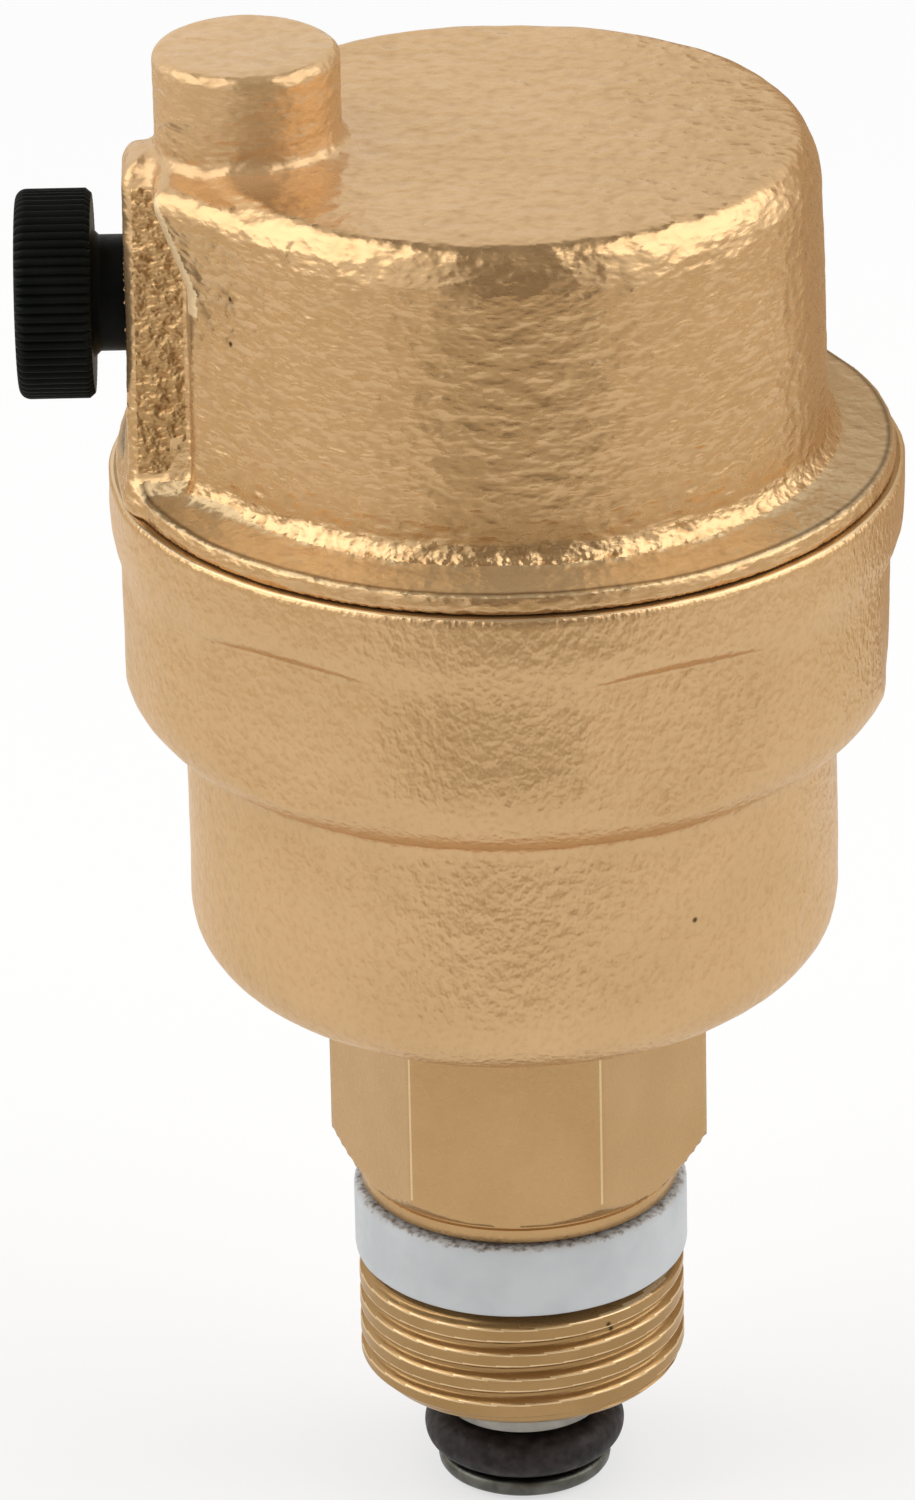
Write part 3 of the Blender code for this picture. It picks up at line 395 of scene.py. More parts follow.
def dulled(made, centre, near, far, metallic):
    """Makes a material duller near an upright line, where the casting keeps its skin"""
    tree = made.node_tree
    apart = ring_distance(tree, centre)
    tree.links.new(ramp(tree, apart, near * MM, far * MM, metallic, BRASS_METALLIC),
                   tree.nodes["Principled BSDF"].inputs["Metallic"])


def with_hole_shade(tree, colour, places):
    """Paints shade into small casting holes and nicks: darkens a colour at places in millimetres"""
    for place in places:
        coordinates = tree.nodes.new("ShaderNodeTexCoord")
        apart = tree.nodes.new("ShaderNodeVectorMath")
        apart.operation = 'DISTANCE'
        apart.inputs[1].default_value = [value * MM for value in place]
        tree.links.new(coordinates.outputs["Object"], apart.inputs[0])
        shaded = ramp(tree, apart.outputs["Value"], HOLE_CORE * MM, HOLE_EDGE * MM, HOLE_SHADE_DARKNESS, 0)
        colour = blend(tree, shaded, colour, HOLE_SHADE_COLOUR)
    return colour


def machined_brass(name, first, second, turned, holes=()):
    """Brass that a tool has cut: satin with fine marks, round the axis where it was turned"""
    made, tree, principled = shader(name)
    principled.inputs["Metallic"].default_value = BRASS_METALLIC
    principled.inputs["Specular Tint"].default_value = (*EDGE_TINT, 1)
    marks = noise(tree, 3.0, detail=2, stretch=TURNED_MARKS if turned else PLAIN_MARKS)
    colour = patched(tree, 0.15, 2, first, second)
    tree.links.new(with_hole_shade(tree, colour, holes), principled.inputs["Base Color"])
    tree.links.new(ramp(tree, marks, *GRAIN, 0.26, 0.36), principled.inputs["Roughness"])
    bumps(tree, principled, [(marks, MARK_DEPTH)])
    return made


def plain(name, first, second, metallic, smooth, rough, scale, depth, shine=0.5, patch=0.3):
    """A surface with two near colours in patches and a fine grain"""
    made, tree, principled = shader(name)
    principled.inputs["Metallic"].default_value = metallic
    principled.inputs["Specular IOR Level"].default_value = shine
    tree.links.new(patched(tree, patch, 3, first, second), principled.inputs["Base Color"])
    grain = noise(tree, scale, detail=3)
    tree.links.new(ramp(tree, grain, *GRAIN, smooth, rough), principled.inputs["Roughness"])
    bumps(tree, principled, [(grain, depth)])
    return made


def smudged(made, top, height, colour):
    """Adds brown smudges to a material, from a level in millimetres down over a height"""
    tree = made.node_tree
    principled = tree.nodes["Principled BSDF"]
    clean = principled.inputs["Base Color"].links[0].from_socket
    coordinates = tree.nodes.new("ShaderNodeTexCoord")
    split = tree.nodes.new("ShaderNodeSeparateXYZ")
    tree.links.new(coordinates.outputs["Object"], split.inputs["Vector"])
    near = ramp(tree, split.outputs["Z"], (top - height) * MM, top * MM, 0, 1)
    specks = tree.nodes.new("ShaderNodeMath")
    specks.operation = 'ADD'
    tree.links.new(near, specks.inputs[0])
    tree.links.new(noise(tree, 2.4, detail=3, roughness=0.6), specks.inputs[1])
    dirt = ramp(tree, specks.outputs["Value"], *SMUDGES, 0, SMUDGE_DARKNESS)
    tree.links.new(blend(tree, dirt, clean, colour), principled.inputs["Base Color"])


def paint_crease_shade(made, radius, half_width, colour):
    """Paints shade: darkens a thin ring round the axis, in the crease along the casting's edge"""
    tree = made.node_tree
    principled = tree.nodes["Principled BSDF"]
    clean = principled.inputs["Base Color"].links[0].from_socket
    apart = ring_distance(tree, (0, 0))
    inner = ramp(tree, apart, (radius - half_width) * MM, radius * MM, 0, CREASE_SHADE_DARKNESS)
    outer = ramp(tree, apart, radius * MM, (radius + half_width) * MM, 1, 0)
    both = tree.nodes.new("ShaderNodeMath")
    both.operation = 'MULTIPLY'
    tree.links.new(inner, both.inputs[0])
    tree.links.new(outer, both.inputs[1])
    tree.links.new(blend(tree, both.outputs["Value"], clean, colour), principled.inputs["Base Color"])


# Meshes

def add(name, points, faces, body, replaced, materials, kinds=None):
    """A smooth mesh from points in millimetres, riding on a body in place of a CAD node"""
    mesh = bpy.data.meshes.new(name)
    mesh.from_pydata((points * MM).tolist(), [], faces)
    for item in materials:
        mesh.materials.append(item)
    if kinds is not None:
        mesh.polygons.foreach_set("material_index", kinds)
    mesh.polygons.foreach_set("use_smooth", [True] * len(mesh.polygons))
    mesh.set_sharp_from_angle(angle=SHARP_ANGLE)
    made = bpy.data.objects.new(name, mesh)
    bpy.context.scene.collection.objects.link(made)
    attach(made, body)
    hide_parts(replaced)


def grid(radii, heights, closed=True, turn=None):
    """Points and faces of a shape round Z from rows of radii and heights that run down its side"""
    rows, columns = radii.shape
    if turn is None:
        turn = 2 * pi * np.arange(columns) / columns
    points = np.stack([radii * np.cos(turn), radii * np.sin(turn), heights], axis=-1)
    i = np.arange(rows if closed else rows - 1)[:, None]
    j = np.arange(columns)[None, :]
    below, right = (i + 1) % rows, (j + 1) % columns
    corners = [i * columns + j, below * columns + j, below * columns + right, i * columns + right]
    faces = np.stack(corners, axis=-1).reshape(-1, 4).tolist()
    if not closed:
        faces.append(list(range(columns)))
        faces.append(list(range(rows * columns - 1, (rows - 1) * columns - 1, -1)))
    return points.reshape(-1, 3), faces


def resample(points, step):
    """The same line with points at an even spacing, its corners kept"""
    made = [points[0]]
    for (r0, z0), (r1, z1) in zip(points, points[1:]):
        count = max(1, round(hypot(r1 - r0, z1 - z0) / step))
        made += [(r0 + (r1 - r0) * k / count, z0 + (z1 - z0) * k / count) for k in range(1, count + 1)]
    return np.array(made)


def arc(centre, radius, start, end, steps):
    """Points on a circle between two angles in degrees"""
    turns = [radians(start + (end - start) * i / steps) for i in range(steps + 1)]
    return [(centre[0] + radius * cos(t), centre[1] + radius * sin(t)) for t in turns]


def soften(line, spread):
    """Rounds the corners of a line of points by a running average, its ends held"""
    half = len(spread) // 2
    padded = np.concatenate([line[:1].repeat(half, 0), line, line[-1:].repeat(half, 0)])
    return np.stack([np.convolve(padded[:, i], spread, "valid") for i in range(2)], axis=1)


def bell_weights(width, step):
    """The weights of a running average, shaped like a bell of this width"""
    count = round(BELL_REACH * width / step)
    reach = np.arange(-count, count + 1) * step
    weights = np.exp(-reach ** 2 / 2 / width ** 2)
    return weights / weights.sum()


def ripples(points, length, seed, count=32):
    """Smooth random unevenness, about -1 to 1, with waves of about this length"""
    chance = np.random.default_rng(seed)
    made = np.zeros(len(points))
    for _ in range(count):
        way = chance.normal(size=3)
        way *= 2 * pi / length * chance.uniform(*WAVE_LENGTHS) / np.linalg.norm(way)
        made += np.cos(points @ way + chance.uniform(0, 2 * pi))
    return made / sqrt(count / 2)


# Body

def from_flat(turn, clocking):
    """Angle from the middle of the nearest of six flats"""
    return (turn - clocking + pi / 6) % (pi / 3) - pi / 6


def thread_phase(turn, level):
    """Distance from the middle of the thread's crest: zero there and one in the root"""
    phase = (level / THREAD_PITCH - turn / (2 * pi)) % 1.0
    return np.abs(phase - 0.5) * 2


def thread_radius(turn, level):
    """Radius of the thread's surface, with flat crests, straight flanks and rounded roots"""
    cut = np.clip((thread_phase(turn, level) - THREAD_CREST) / THREAD_FLANK, 0, 1)
    depth = THREAD_DEPTH * (cut - np.sin(2 * pi * cut) / (2 * pi) * THREAD_ROOT_ROUNDING)
    start = np.clip((THREAD_TOP - level) / THREAD_RUN_IN, 0, 1)
    radius = THREAD_RADIUS - depth
    chamfer = THREAD_RADIUS - THREAD_CHAMFER + level - THREAD_END + THREAD_END_EDGE
    radius = np.minimum(radius, chamfer)
    return np.minimum(radius, NECK_RADIUS + (THREAD_RADIUS - NECK_RADIUS) * start)


# The last kind is a lighter brass: a painted highlight along the rim's edge, the thread's crest edges and the
# hexagon's corners
CAST, INNER, CUT, TURNED, HIGHLIGHT_EDGE = range(5)


def casting_line():
    """The outside of the body's casting from the rim down to the hexagon"""
    reach = CASTING_ROUNDING - (DRUM_RADIUS - CUP_RADIUS)
    drum = (DRUM_RADIUS - CASTING_ROUNDING, SHOULDER + sqrt(CASTING_ROUNDING ** 2 - reach ** 2))
    cup = (CUP_RADIUS - CASTING_ROUNDING, BODY_BOTTOM + CASTING_ROUNDING)
    turned_in = -acos(reach / CASTING_ROUNDING) * 180 / pi
    casting = resample([
        (RIM_RADIUS, RIM_TOP - RIM_EDGE),
        (RIM_RADIUS, RIM_TOP - RIM_HEIGHT),
        (DRUM_RADIUS, RIM_TOP - RIM_HEIGHT - RIM_CONE),
        *arc(drum, CASTING_ROUNDING, 0, turned_in, 20),
        *arc(cup, CASTING_ROUNDING, 0, -90, 20),
        (HEX_HALF_FLATS + CASTING_FOOT, BODY_BOTTOM)], CASTING_STEP)
    return soften(casting, bell_weights(CASTING_SOFTNESS, CASTING_STEP))


def body_rows(turn):
    """Rows round the body, each its radii, its levels and the kind of surface that starts there"""
    rows = []

    def row(radius, level, kind):
        rows.append((np.broadcast_to(radius, turn.shape), np.broadcast_to(level, turn.shape), kind))

    row(MOUTH_RADIUS + SEAL_POCKET, RIM_TOP, INNER)
    # The rim's outer land takes the lighter brass: a painted edge highlight
    row(RIM_RADIUS - RIM_EDGE, RIM_TOP, HIGHLIGHT_EDGE)
    row(RIM_RADIUS - RIM_LAND, RIM_TOP - RIM_LAND_DROP, CAST)
    row(RIM_RADIUS, RIM_TOP - RIM_SIDE_DROP, CAST)
    off_flat = from_flat(turn, CLOCKING)
    casting = casting_line()
    for radius, level in casting:
        flat = FLAT_HALF / np.cos(off_flat) + max(0, level - FLAT_TOP) * FLAT_RUN_OUT
        gap = np.maximum(FLAT_ROUNDING - np.abs(radius - flat), 0)
        limited = np.minimum(radius, flat) - gap ** 2
        row(limited if level > SHOULDER else radius, level, CAST)
    corner = HEX_HALF_FLATS / cos(pi / 6)
    off_side = from_flat(turn, CLOCKING + pi / 6)
    side = HEX_HALF_FLATS / np.cos(off_side)
    side = np.minimum(side, corner - HEX_CORNER_CUT)
    edge = casting[-1][0]
    for share in HEX_SHELF_SHARES:
        row(edge + (side + HEX_SHELF_OUT - edge) * share, BODY_BOTTOM, CAST)
    row(side + HEX_EDGE_OUT, BODY_BOTTOM - HEX_EDGE_DROP, CUT)
    steepness = (corner - COLLAR_RADIUS) / HEX_CHAMFER
    for level in np.arange(BODY_BOTTOM - HEX_SIDE_DROP, COLLAR_TOP, -HEX_STEP):
        cone = COLLAR_RADIUS + HEX_CHAMFER_OUT + (level - COLLAR_TOP) * steepness
        row(np.minimum(side, cone), level, CUT)
    row(COLLAR_RADIUS + COLLAR_EDGE, COLLAR_TOP + COLLAR_LIP, CUT)
    row(COLLAR_RADIUS - COLLAR_GROOVE, COLLAR_TOP - COLLAR_GROOVE_START, CUT)
    row(COLLAR_RADIUS - COLLAR_GROOVE, COLLAR_TOP - COLLAR_GROOVE_END, CUT)
    row(COLLAR_RADIUS, COLLAR_TOP - COLLAR_SIDE_START, CUT)
    row(COLLAR_RADIUS, COLLAR_BOTTOM + COLLAR_EDGE, CUT)
    row(COLLAR_RADIUS - COLLAR_EDGE, COLLAR_BOTTOM, CUT)
    row(NECK_RADIUS, COLLAR_BOTTOM, CUT)
    row(NECK_RADIUS, NECK_BOTTOM, TURNED)
    for level in np.arange(THREAD_TOP, THREAD_END, -THREAD_STEP):
        row(thread_radius(turn, level), level, TURNED)
    row(thread_radius(turn, THREAD_END) - THREAD_END_EDGE, THREAD_END, TURNED)
    rounding = (CHAMBER_RADIUS - CHAMBER_ROUNDING, CHAMBER_FLOOR + CHAMBER_ROUNDING)
    pocket_bottom = RIM_TOP - SEAL_POCKET - SEAL_GAP
    inner = [(INLET_BORE + INLET_CHAMFER, THREAD_END), (INLET_BORE, THREAD_END + INLET_CHAMFER),
             (INLET_BORE, BORE_STEP), (SPIGOT_HEAD, BORE_STEP), (SPIGOT_HEAD, CHAMBER_FLOOR),
             *arc(rounding, CHAMBER_ROUNDING, -90, 0, 8),
             (CHAMBER_RADIUS, CHAMBER_STEP_BOTTOM), (MOUTH_RADIUS, CHAMBER_STEP_TOP),
             (MOUTH_RADIUS, pocket_bottom), (MOUTH_RADIUS + SEAL_POCKET, pocket_bottom)]
    for radius, level in inner:
        row(radius, level, INNER)
    return rows


def make_body(materials):
    turn = 2 * pi * np.arange(COLUMNS) / COLUMNS
    off_corner = from_flat(turn, CLOCKING)
    turn = np.where(np.abs(off_corner) < CORNER_NEAR, turn - off_corner * CORNER_GATHER, turn)
    rows = body_rows(turn)
    radii = np.array([item[0] for item in rows])
    heights = np.array([item[1] for item in rows])
    points, faces = grid(radii, heights, turn=turn)
    kinds = np.repeat([item[2] for item in rows], COLUMNS)
    cast = kinds == CAST
    middle = np.array([points[list(face)].mean(axis=0) for face in faces])
    heading = np.arctan2(middle[:, 1], middle[:, 0])
    # Thin strips on the thread's crest edges and the hexagon's corners take the lighter brass: a painted
    # highlight
    crest_highlight = np.abs(thread_phase(heading, middle[:, 2]) - THREAD_CREST) < CREST_HIGHLIGHT_HALF
    crest_highlight &= (kinds == TURNED) & (middle[:, 2] > CREST_HIGHLIGHT_BOTTOM)
    corner_highlight = (np.abs(from_flat(heading, CLOCKING)) < CORNER_HIGHLIGHT_HALF) & (kinds == CUT)
    corner_highlight &= middle[:, 2] > COLLAR_TOP + HEX_CHAMFER
    kinds[crest_highlight | corner_highlight] = HIGHLIGHT_EDGE
    out = points[:, :2] / np.maximum(np.linalg.norm(points[:, :2], axis=1, keepdims=True), 1e-6)
    waves, dimples = ripples(points, BODY_WAVES[1], 1), ripples(points, BODY_DIMPLES[1], 2)
    push = BODY_WAVES[0] * waves + BODY_DIMPLES[0] * dimples - BODY_INSET
    points[:, :2] += out * (push * cast)[:, None]
    add("body_casting", points, faces, "housing", "body", materials, kinds.tolist())


# Cover

def round_min(first, second, radius):
    """Joins two shapes with a fillet"""
    near = np.hypot(np.maximum(radius - first, 0), np.maximum(radius - second, 0))
    return np.maximum(np.minimum(first, second), radius) - near


def round_max(first, second, radius):
    """Cuts one shape by another with a rounded edge"""
    near = np.hypot(np.maximum(first + radius, 0), np.maximum(second + radius, 0))
    return np.minimum(np.maximum(first, second), -radius) + near


def block_side(x, off, z):
    """Distance to the block's leaning side, where off is how far a point lies from its middle plane"""
    steepness = sqrt(1 + BLOCK_TAPER ** 2 + BLOCK_LEAN ** 2)
    return (off - BLOCK_HALF - BLOCK_TAPER * x + BLOCK_LEAN * z) / steepness


def flank_start(z):
    """Where the flank starts on the block: how far out and how far off the middle, at a level"""
    out = FLANK_START + np.maximum(z - FLANK_BEND, 0) * FLANK_SLOPE
    return out, FLANK_OFF + FLANK_LEAN * (COVER_TOP - z)


def flank_distance(x, off, z, bell_radius):
    """Distance to what runs from the block's side into the bell, its edge slanting out near the top"""
    start, start_off = flank_start(z)
    to_start = np.hypot(start, start_off)
    heading = np.arctan2(start_off, start) + np.arccos(np.minimum(bell_radius / to_start, 1))
    flank = off * np.sin(heading) - x * np.cos(heading) - bell_radius
    beyond = x * np.sin(heading) + off * np.cos(heading)
    return np.maximum(round_max(flank, (-start - x) * FLANK_END_COSINE, FLANK_EDGE), beyond)


def block_distance(x, off, z, bell_radius):
    """Distance to the block that holds the knob, with its flanks"""
    block = round_max(-BLOCK_FACE - x, block_side(x, off, z), BLOCK_EDGE)
    block = round_min(block, flank_distance(x, off, z, bell_radius), FLANK_FILLET)
    block = round_max(block, z - COVER_TOP + BLOCK_DROP, BLOCK_TOP_EDGE)
    return np.maximum(block, x + BLOCK_BACK)


def cover_distance(x, y, z):
    """Signed distance to the cover: below zero inside the metal"""
    r = np.hypot(x, y)
    out = np.hypot(x + BOSS_OFFSET, y)
    draft = np.clip((COVER_TOP - z) / (COVER_TOP - BELL_FOOT), 0, 1)
    wall = r - COVER_RADIUS - COVER_DRAFT * draft
    bell = round_max(wall, z - COVER_TOP - TOP_CUT, TOP_ROUNDING)
    bell = round_max(bell, z - COVER_TOP, TOP_EDGE)
    slope = z - COVER_BOTTOM - FLANGE_EDGE - (FLANGE_RADIUS - r) * FLANGE_SLOPE
    flange = round_max(r - FLANGE_RADIUS, FLANGE_SLOPE_COSINE * slope, FLANGE_ROUNDING)
    block = block_distance(x, np.abs(y), z, r - wall)
    boss = round_max(out - BOSS_RADIUS, z - BOSS_TOP, BOSS_ROUNDING)
    boss = np.maximum(boss, KNOB_LEVEL - z)
    shape = round_min(bell, block, BLOCK_FILLET)
    shape = round_min(shape, boss, BOSS_FILLET)
    shape = round_min(shape, flange, FOOT_FILLET)
    shape = round_max(shape, FLANGE_UNDERSIDE - z, FLANGE_BOTTOM_ROUNDING)
    skirt = np.maximum(r - MOUTH_RADIUS + SKIRT_GAP, SKIRT_BOTTOM - z)
    skirt = np.maximum(skirt, z - SKIRT_TOP)
    shape = np.minimum(shape, skirt)
    dome = round_max(r - COVER_RADIUS + COVER_WALL, z - COVER_TOP + COVER_WALL, DOME_ROUNDING)
    pocket = np.maximum(out - POCKET_RADIUS, z - POCKET_TOP)
    bore = np.maximum(out - SEAT_BORE, z - BOSS_TOP + BOSS_CAP)
    hollow = np.minimum(np.minimum(dome, pocket), bore)
    side = np.hypot(y, z - KNOB_LEVEL)
    socket = np.maximum(side - SOCKET_RADIUS, x + BLOCK_FACE - SOCKET_DEPTH)
    vent = np.maximum(side - VENT_RADIUS, x + BOSS_OFFSET)
    hollow = np.minimum(hollow, np.minimum(socket, vent))
    return np.maximum(shape, -hollow)


def surface_net(distance, low, high, step):
    """Points and faces of the surface where distance is zero"""
    margin = NET_MARGIN * step
    axes = [np.arange(low[i] - margin, high[i] + margin, step) for i in range(3)]
    field = distance(*np.meshgrid(*axes, indexing="ij"))
    cells = np.array(field.shape) - 1
    quads, spots = [], []
    for axis in range(3):
        count = field.shape[axis]
        first = field.take(range(count - 1), axis)
        second = field.take(range(1, count), axis)
        index = np.argwhere((first < 0) != (second < 0))
        start, end = first[tuple(index.T)], second[tuple(index.T)]
        spot = index.astype(float)
        spot[:, axis] += start / (start - end)
        corners = []
        for across, along in ((0, 0), (-1, 0), (-1, -1), (0, -1)):
            cell = index.copy()
            cell[:, (axis + 1) % 3] += across
            cell[:, (axis + 2) % 3] += along
            corners.append((cell[:, 0] * cells[1] + cell[:, 1]) * cells[2] + cell[:, 2])
        quad = np.stack(corners, axis=1)
        quad[start > 0] = quad[start > 0][:, ::-1]
        quads.append(quad)
        spots.append(np.repeat(spot[:, None], 4, axis=1))
    quads, spots = np.concatenate(quads), np.concatenate(spots)
    used, faces = np.unique(quads, return_inverse=True)
    faces = faces.reshape(-1, 4)
    share = np.bincount(faces.ravel(), minlength=len(used))
    points = np.stack([np.bincount(faces.ravel(), spots[:, :, i].ravel()) / share for i in range(3)], 1)
    points = points * step + [axis[0] for axis in axes]
    for _ in range(NET_ROUNDS):
        here = distance(*points.T)
        slope = gradient(distance, points)
        points -= slope * (here / np.maximum((slope ** 2).sum(1), LEAST_SLOPE))[:, None]
    return points, faces


def gradient(distance, points):
    """Which way a distance grows at each point"""
    steps = GRADIENT_REACH * np.eye(3)
    made = [distance(*(points + step).T) - distance(*(points - step).T) for step in steps]
    return np.stack(made, axis=1) / (2 * GRADIENT_REACH)


BELL, SHADED_SIDE, FLANGE, FOOT, RIDGE_HIGHLIGHT = range(5)
SIDE_THICKNESS, FACING_SIDEWAYS = 0.05, 0.9
RIDGE_MIDDLE, RIDGE_HALF, RIDGE_REACH, RIDGE_FOOT = 0.12, 0.48, 0.9, FLANK_BEND - 1.5
FOOT_TOP, FOOT_IN, FOOT_OUT = COVER_BOTTOM + 4.4, COVER_RADIUS + 0.2, COVER_RADIUS + 2.4
FLANGE_TOP, FLANGE_IN = COVER_BOTTOM + 2.4, COVER_RADIUS + 1.2
FOOT_FACING_UP, FLANGE_FACING_UP = 0.2, 0.6
UNEVEN_FROM, UNEVEN_OUTSIDE = COVER_BOTTOM + 0.6, 17.4


def cover_kinds(middle, way):
    """The material of each face of the cover, from its middle and the way it faces"""
    x, off, z = middle[:, 0], np.abs(middle[:, 1]), middle[:, 2]
    reach = np.hypot(middle[:, 0], middle[:, 1])
    # The block's recessed side takes a darker, rougher brass: the rougher finish is the casting's own, the
    # darker tone is painted shade
    on_shaded_side = np.abs(block_side(x, off, z)) < SIDE_THICKNESS
    on_shaded_side &= (x < -FLANK_START) & (np.abs(way[:, 1]) > FACING_SIDEWAYS) & (z > SIDE_FOOT)
    on_foot = (z < FOOT_TOP) & (way[:, 2] > FOOT_FACING_UP) & (reach < FOOT_OUT) & (reach > FOOT_IN)
    on_flange = (z < FLANGE_TOP) & (reach > FLANGE_IN) & (way[:, 2] > FLANGE_FACING_UP)
    start, start_off = flank_start(z)
    # A strip along the flank's ridge takes a lighter, less metallic brass: a painted highlight
    on_ridge_highlight = (np.abs(x + start - RIDGE_MIDDLE) < RIDGE_HALF) & (np.abs(off - start_off) < RIDGE_REACH)
    on_ridge_highlight &= z > RIDGE_FOOT
    kinds = np.full(len(middle), BELL)
    for found, kind in ((on_shaded_side, SHADED_SIDE), (on_foot, FOOT), (on_flange, FLANGE), (on_ridge_highlight, RIDGE_HIGHLIGHT)):
        kinds[found] = kind
    return kinds


def make_cover(materials):
    points, faces = surface_net(cover_distance, cover_low, cover_high, STEP)
    slope = gradient(cover_distance, points)
    slope /= np.maximum(np.linalg.norm(slope, axis=1, keepdims=True), LEAST_SLOPE)
    kinds = cover_kinds(points[faces].mean(axis=1), slope[faces].mean(axis=1))
    uneven = (points[:, 2] > UNEVEN_FROM) & (np.hypot(points[:, 0], points[:, 1]) > UNEVEN_OUTSIDE)
    uneven |= points[:, 2] > COVER_TOP - 1
    waves = ripples(points, COVER_WAVES[1], 3)
    dimples = ripples(points * DIMPLE_STRETCH, COVER_DIMPLES[1], 4)
    push = COVER_WAVES[0] * waves + COVER_DIMPLES[0] * dimples - COVER_INSET
    points += slope * (push * uneven)[:, None]
    add("cover_casting", points, faces.tolist(), "housing", "cover", materials, kinds.tolist())


# Small pieces

def make_lathed(name, outline, body, node, materials, wobble=0.0, level=None):
    """A turned piece from a closed outline of (radius, height) points that run down its side

    Below the level, where one is given, it takes the second material.
    """
    line = resample(outline + outline[:1], LATHE_STEP)[:-1]
    turn = 2 * pi * np.arange(COLUMNS) / COLUMNS
    uneven = wobble * sum(height * np.sin(waves * turn + start) for waves, start, height in WOBBLES)
    radii = line[:, :1] + uneven
    heights = line[:, 1:] + 0 * radii
    points, faces = grid(radii, heights)
    kinds = None if level is None else np.repeat((line[:, 1] < level).astype(int), COLUMNS).tolist()
    add(name, points, faces, body, node, materials, kinds)


def make_seals(white, rubber, lit_grey, shaded):
    ring_out, ring_in, top = seal_high.x - SEAL_INSET, NECK_RADIUS + RING_GAP, seal_high.z
    make_lathed("seal_ring_white", [
        (ring_in, top),
        *arc((ring_out - SEAL_EDGE, top - SEAL_EDGE), SEAL_EDGE, 90, 0, 5),
        *arc((ring_out - SEAL_EDGE, SEAL_EDGE + SEAL_CLEARANCE), SEAL_EDGE, 0, -90, 5),
        (ring_in, SEAL_CLEARANCE)], "housing", "seal_ring", [white], wobble=0.02)
    end, bottom = SPIGOT_SHANK + GROOVE_EDGE - SPIGOT_END_EDGE, spigot_low.z
    # The spigot's metal comes in lit and shaded copies: lighter above the O-ring's middle, darker below it,
    # painted light and shade
    level = (oring_low.z + oring_high.z) / 2
    section = (oring_high.z - oring_low.z) / 2
    groove_top, groove_bottom = level + section + GROOVE_GAP, level - section - GROOVE_GAP
    make_lathed("inlet_spigot_turned", [
        (SPIGOT_BORE, SPIGOT_TOP), (SPIGOT_FLANGE, SPIGOT_TOP),
        (SPIGOT_FLANGE, SPIGOT_FLANGE_BOTTOM), (SPIGOT_SHANK, SPIGOT_FLANGE_BOTTOM),
        (SPIGOT_SHANK, groove_top + GROOVE_LIP[1]), (SPIGOT_SHANK - GROOVE_LIP[0], groove_top),
        (GROOVE_RADIUS, groove_top), (GROOVE_RADIUS, groove_bottom),
        *arc((SPIGOT_SHANK, groove_bottom - GROOVE_EDGE), GROOVE_EDGE, 90, 0, 4),
        *arc((end, bottom + SPIGOT_END_EDGE), SPIGOT_END_EDGE, 0, -90, 4),
        (SPIGOT_BORE, bottom)], "housing", "inlet_spigot", [lit_grey, shaded], level=level)
    centre = (oring_high.x - section, level)
    make_lathed("spigot_oring_rubber", arc(centre, section - SEAL_CLEARANCE, 90, -264, 59), "housing",
                "spigot_oring", [rubber], wobble=0.015)


def make_knob(material):
    """The ribbed knob and its neck, turned about its own axis and laid along -X"""
    turn = 2 * pi * np.arange(KNOB_COLUMNS) / KNOB_COLUMNS
    rib = 0.5 + 0.5 * np.cos(KNOB_RIBS * turn)
    cut = RIB_DEPTH * (1 - np.sqrt(rib))
    front, back = knob_low.x, -BLOCK_FACE - KNOB_STAND_OFF
    tip, washer = -BLOCK_FACE + NECK_LENGTH, -BLOCK_FACE + WASHER_SEAT
    line = resample([
        (CAP_RADIUS, front), *arc((KNOB_RADIUS - KNOB_EDGE, front + KNOB_EDGE), KNOB_EDGE, -90, 0, 8),
        (KNOB_RADIUS, back - KNOB_BACK_EDGE), (KNOB_RADIUS - KNOB_BACK_CUT, back),
        (NECK_OUT + NECK_FILLET, back), (NECK_OUT, back + NECK_FILLET),
        (NECK_OUT, tip), (NECK_TIP, tip), (NECK_TIP, washer), (CAP_RADIUS, washer)], KNOB_STEP)
    depth = np.clip((line[:, :1] - KNOB_RADIUS + RIB_REACH) / RIB_FADE, 0, 1)
    radii = line[:, :1] - cut * depth
    points, faces = grid(radii, line[:, 1:] + 0 * radii, closed=False)
    points = np.stack([points[:, 2], points[:, 1], KNOB_LEVEL + points[:, 0]], axis=1)
    add("vent_knob_ribbed", points, faces, "knob", "vent_knob", [material])


# Light, with lengths in metres

FILL_LIGHT = 0.5
FLOOR_WHITE = 0.6
FLOOR_COLOUR = (0.95, 0.95, 0.95)
FLOOR_HALF, FLOOR_DROP = 3, 0.0002
LAMP_AIM = Vector((0, 0, 0.035))
BOX_AWAY, BOX_FORWARD, BOX_UP = 0.53, -0.05, 0.52
BOX_SIZE, BOX_POWER = (0.75, 0.8), 3.1
BAND_SIDES, BAND_AWAY, BAND_TOP = 48, 0.2, 0.045
CARDS_AWAY, CARDS_FOOT = 0.14, -0.014
OVERHEAD_HALF, OVERHEAD_FRONT, OVERHEAD_BACK, OVERHEAD_UP = 0.16, -0.26, 0.40, 0.5


def soft_box(name, place):
    """A lamp that points at the middle of the valve"""
    data = bpy.data.lights.new(name, 'AREA')
    data.shape = 'RECTANGLE'
    data.size, data.size_y = BOX_SIZE
    data.energy = BOX_POWER
    made = bpy.data.objects.new(name, data)
    made.location = place
    aim = LAMP_AIM - Vector(place)
    made.rotation_euler = aim.to_track_quat('-Z', 'Y').to_euler()
    bpy.context.scene.collection.objects.link(made)


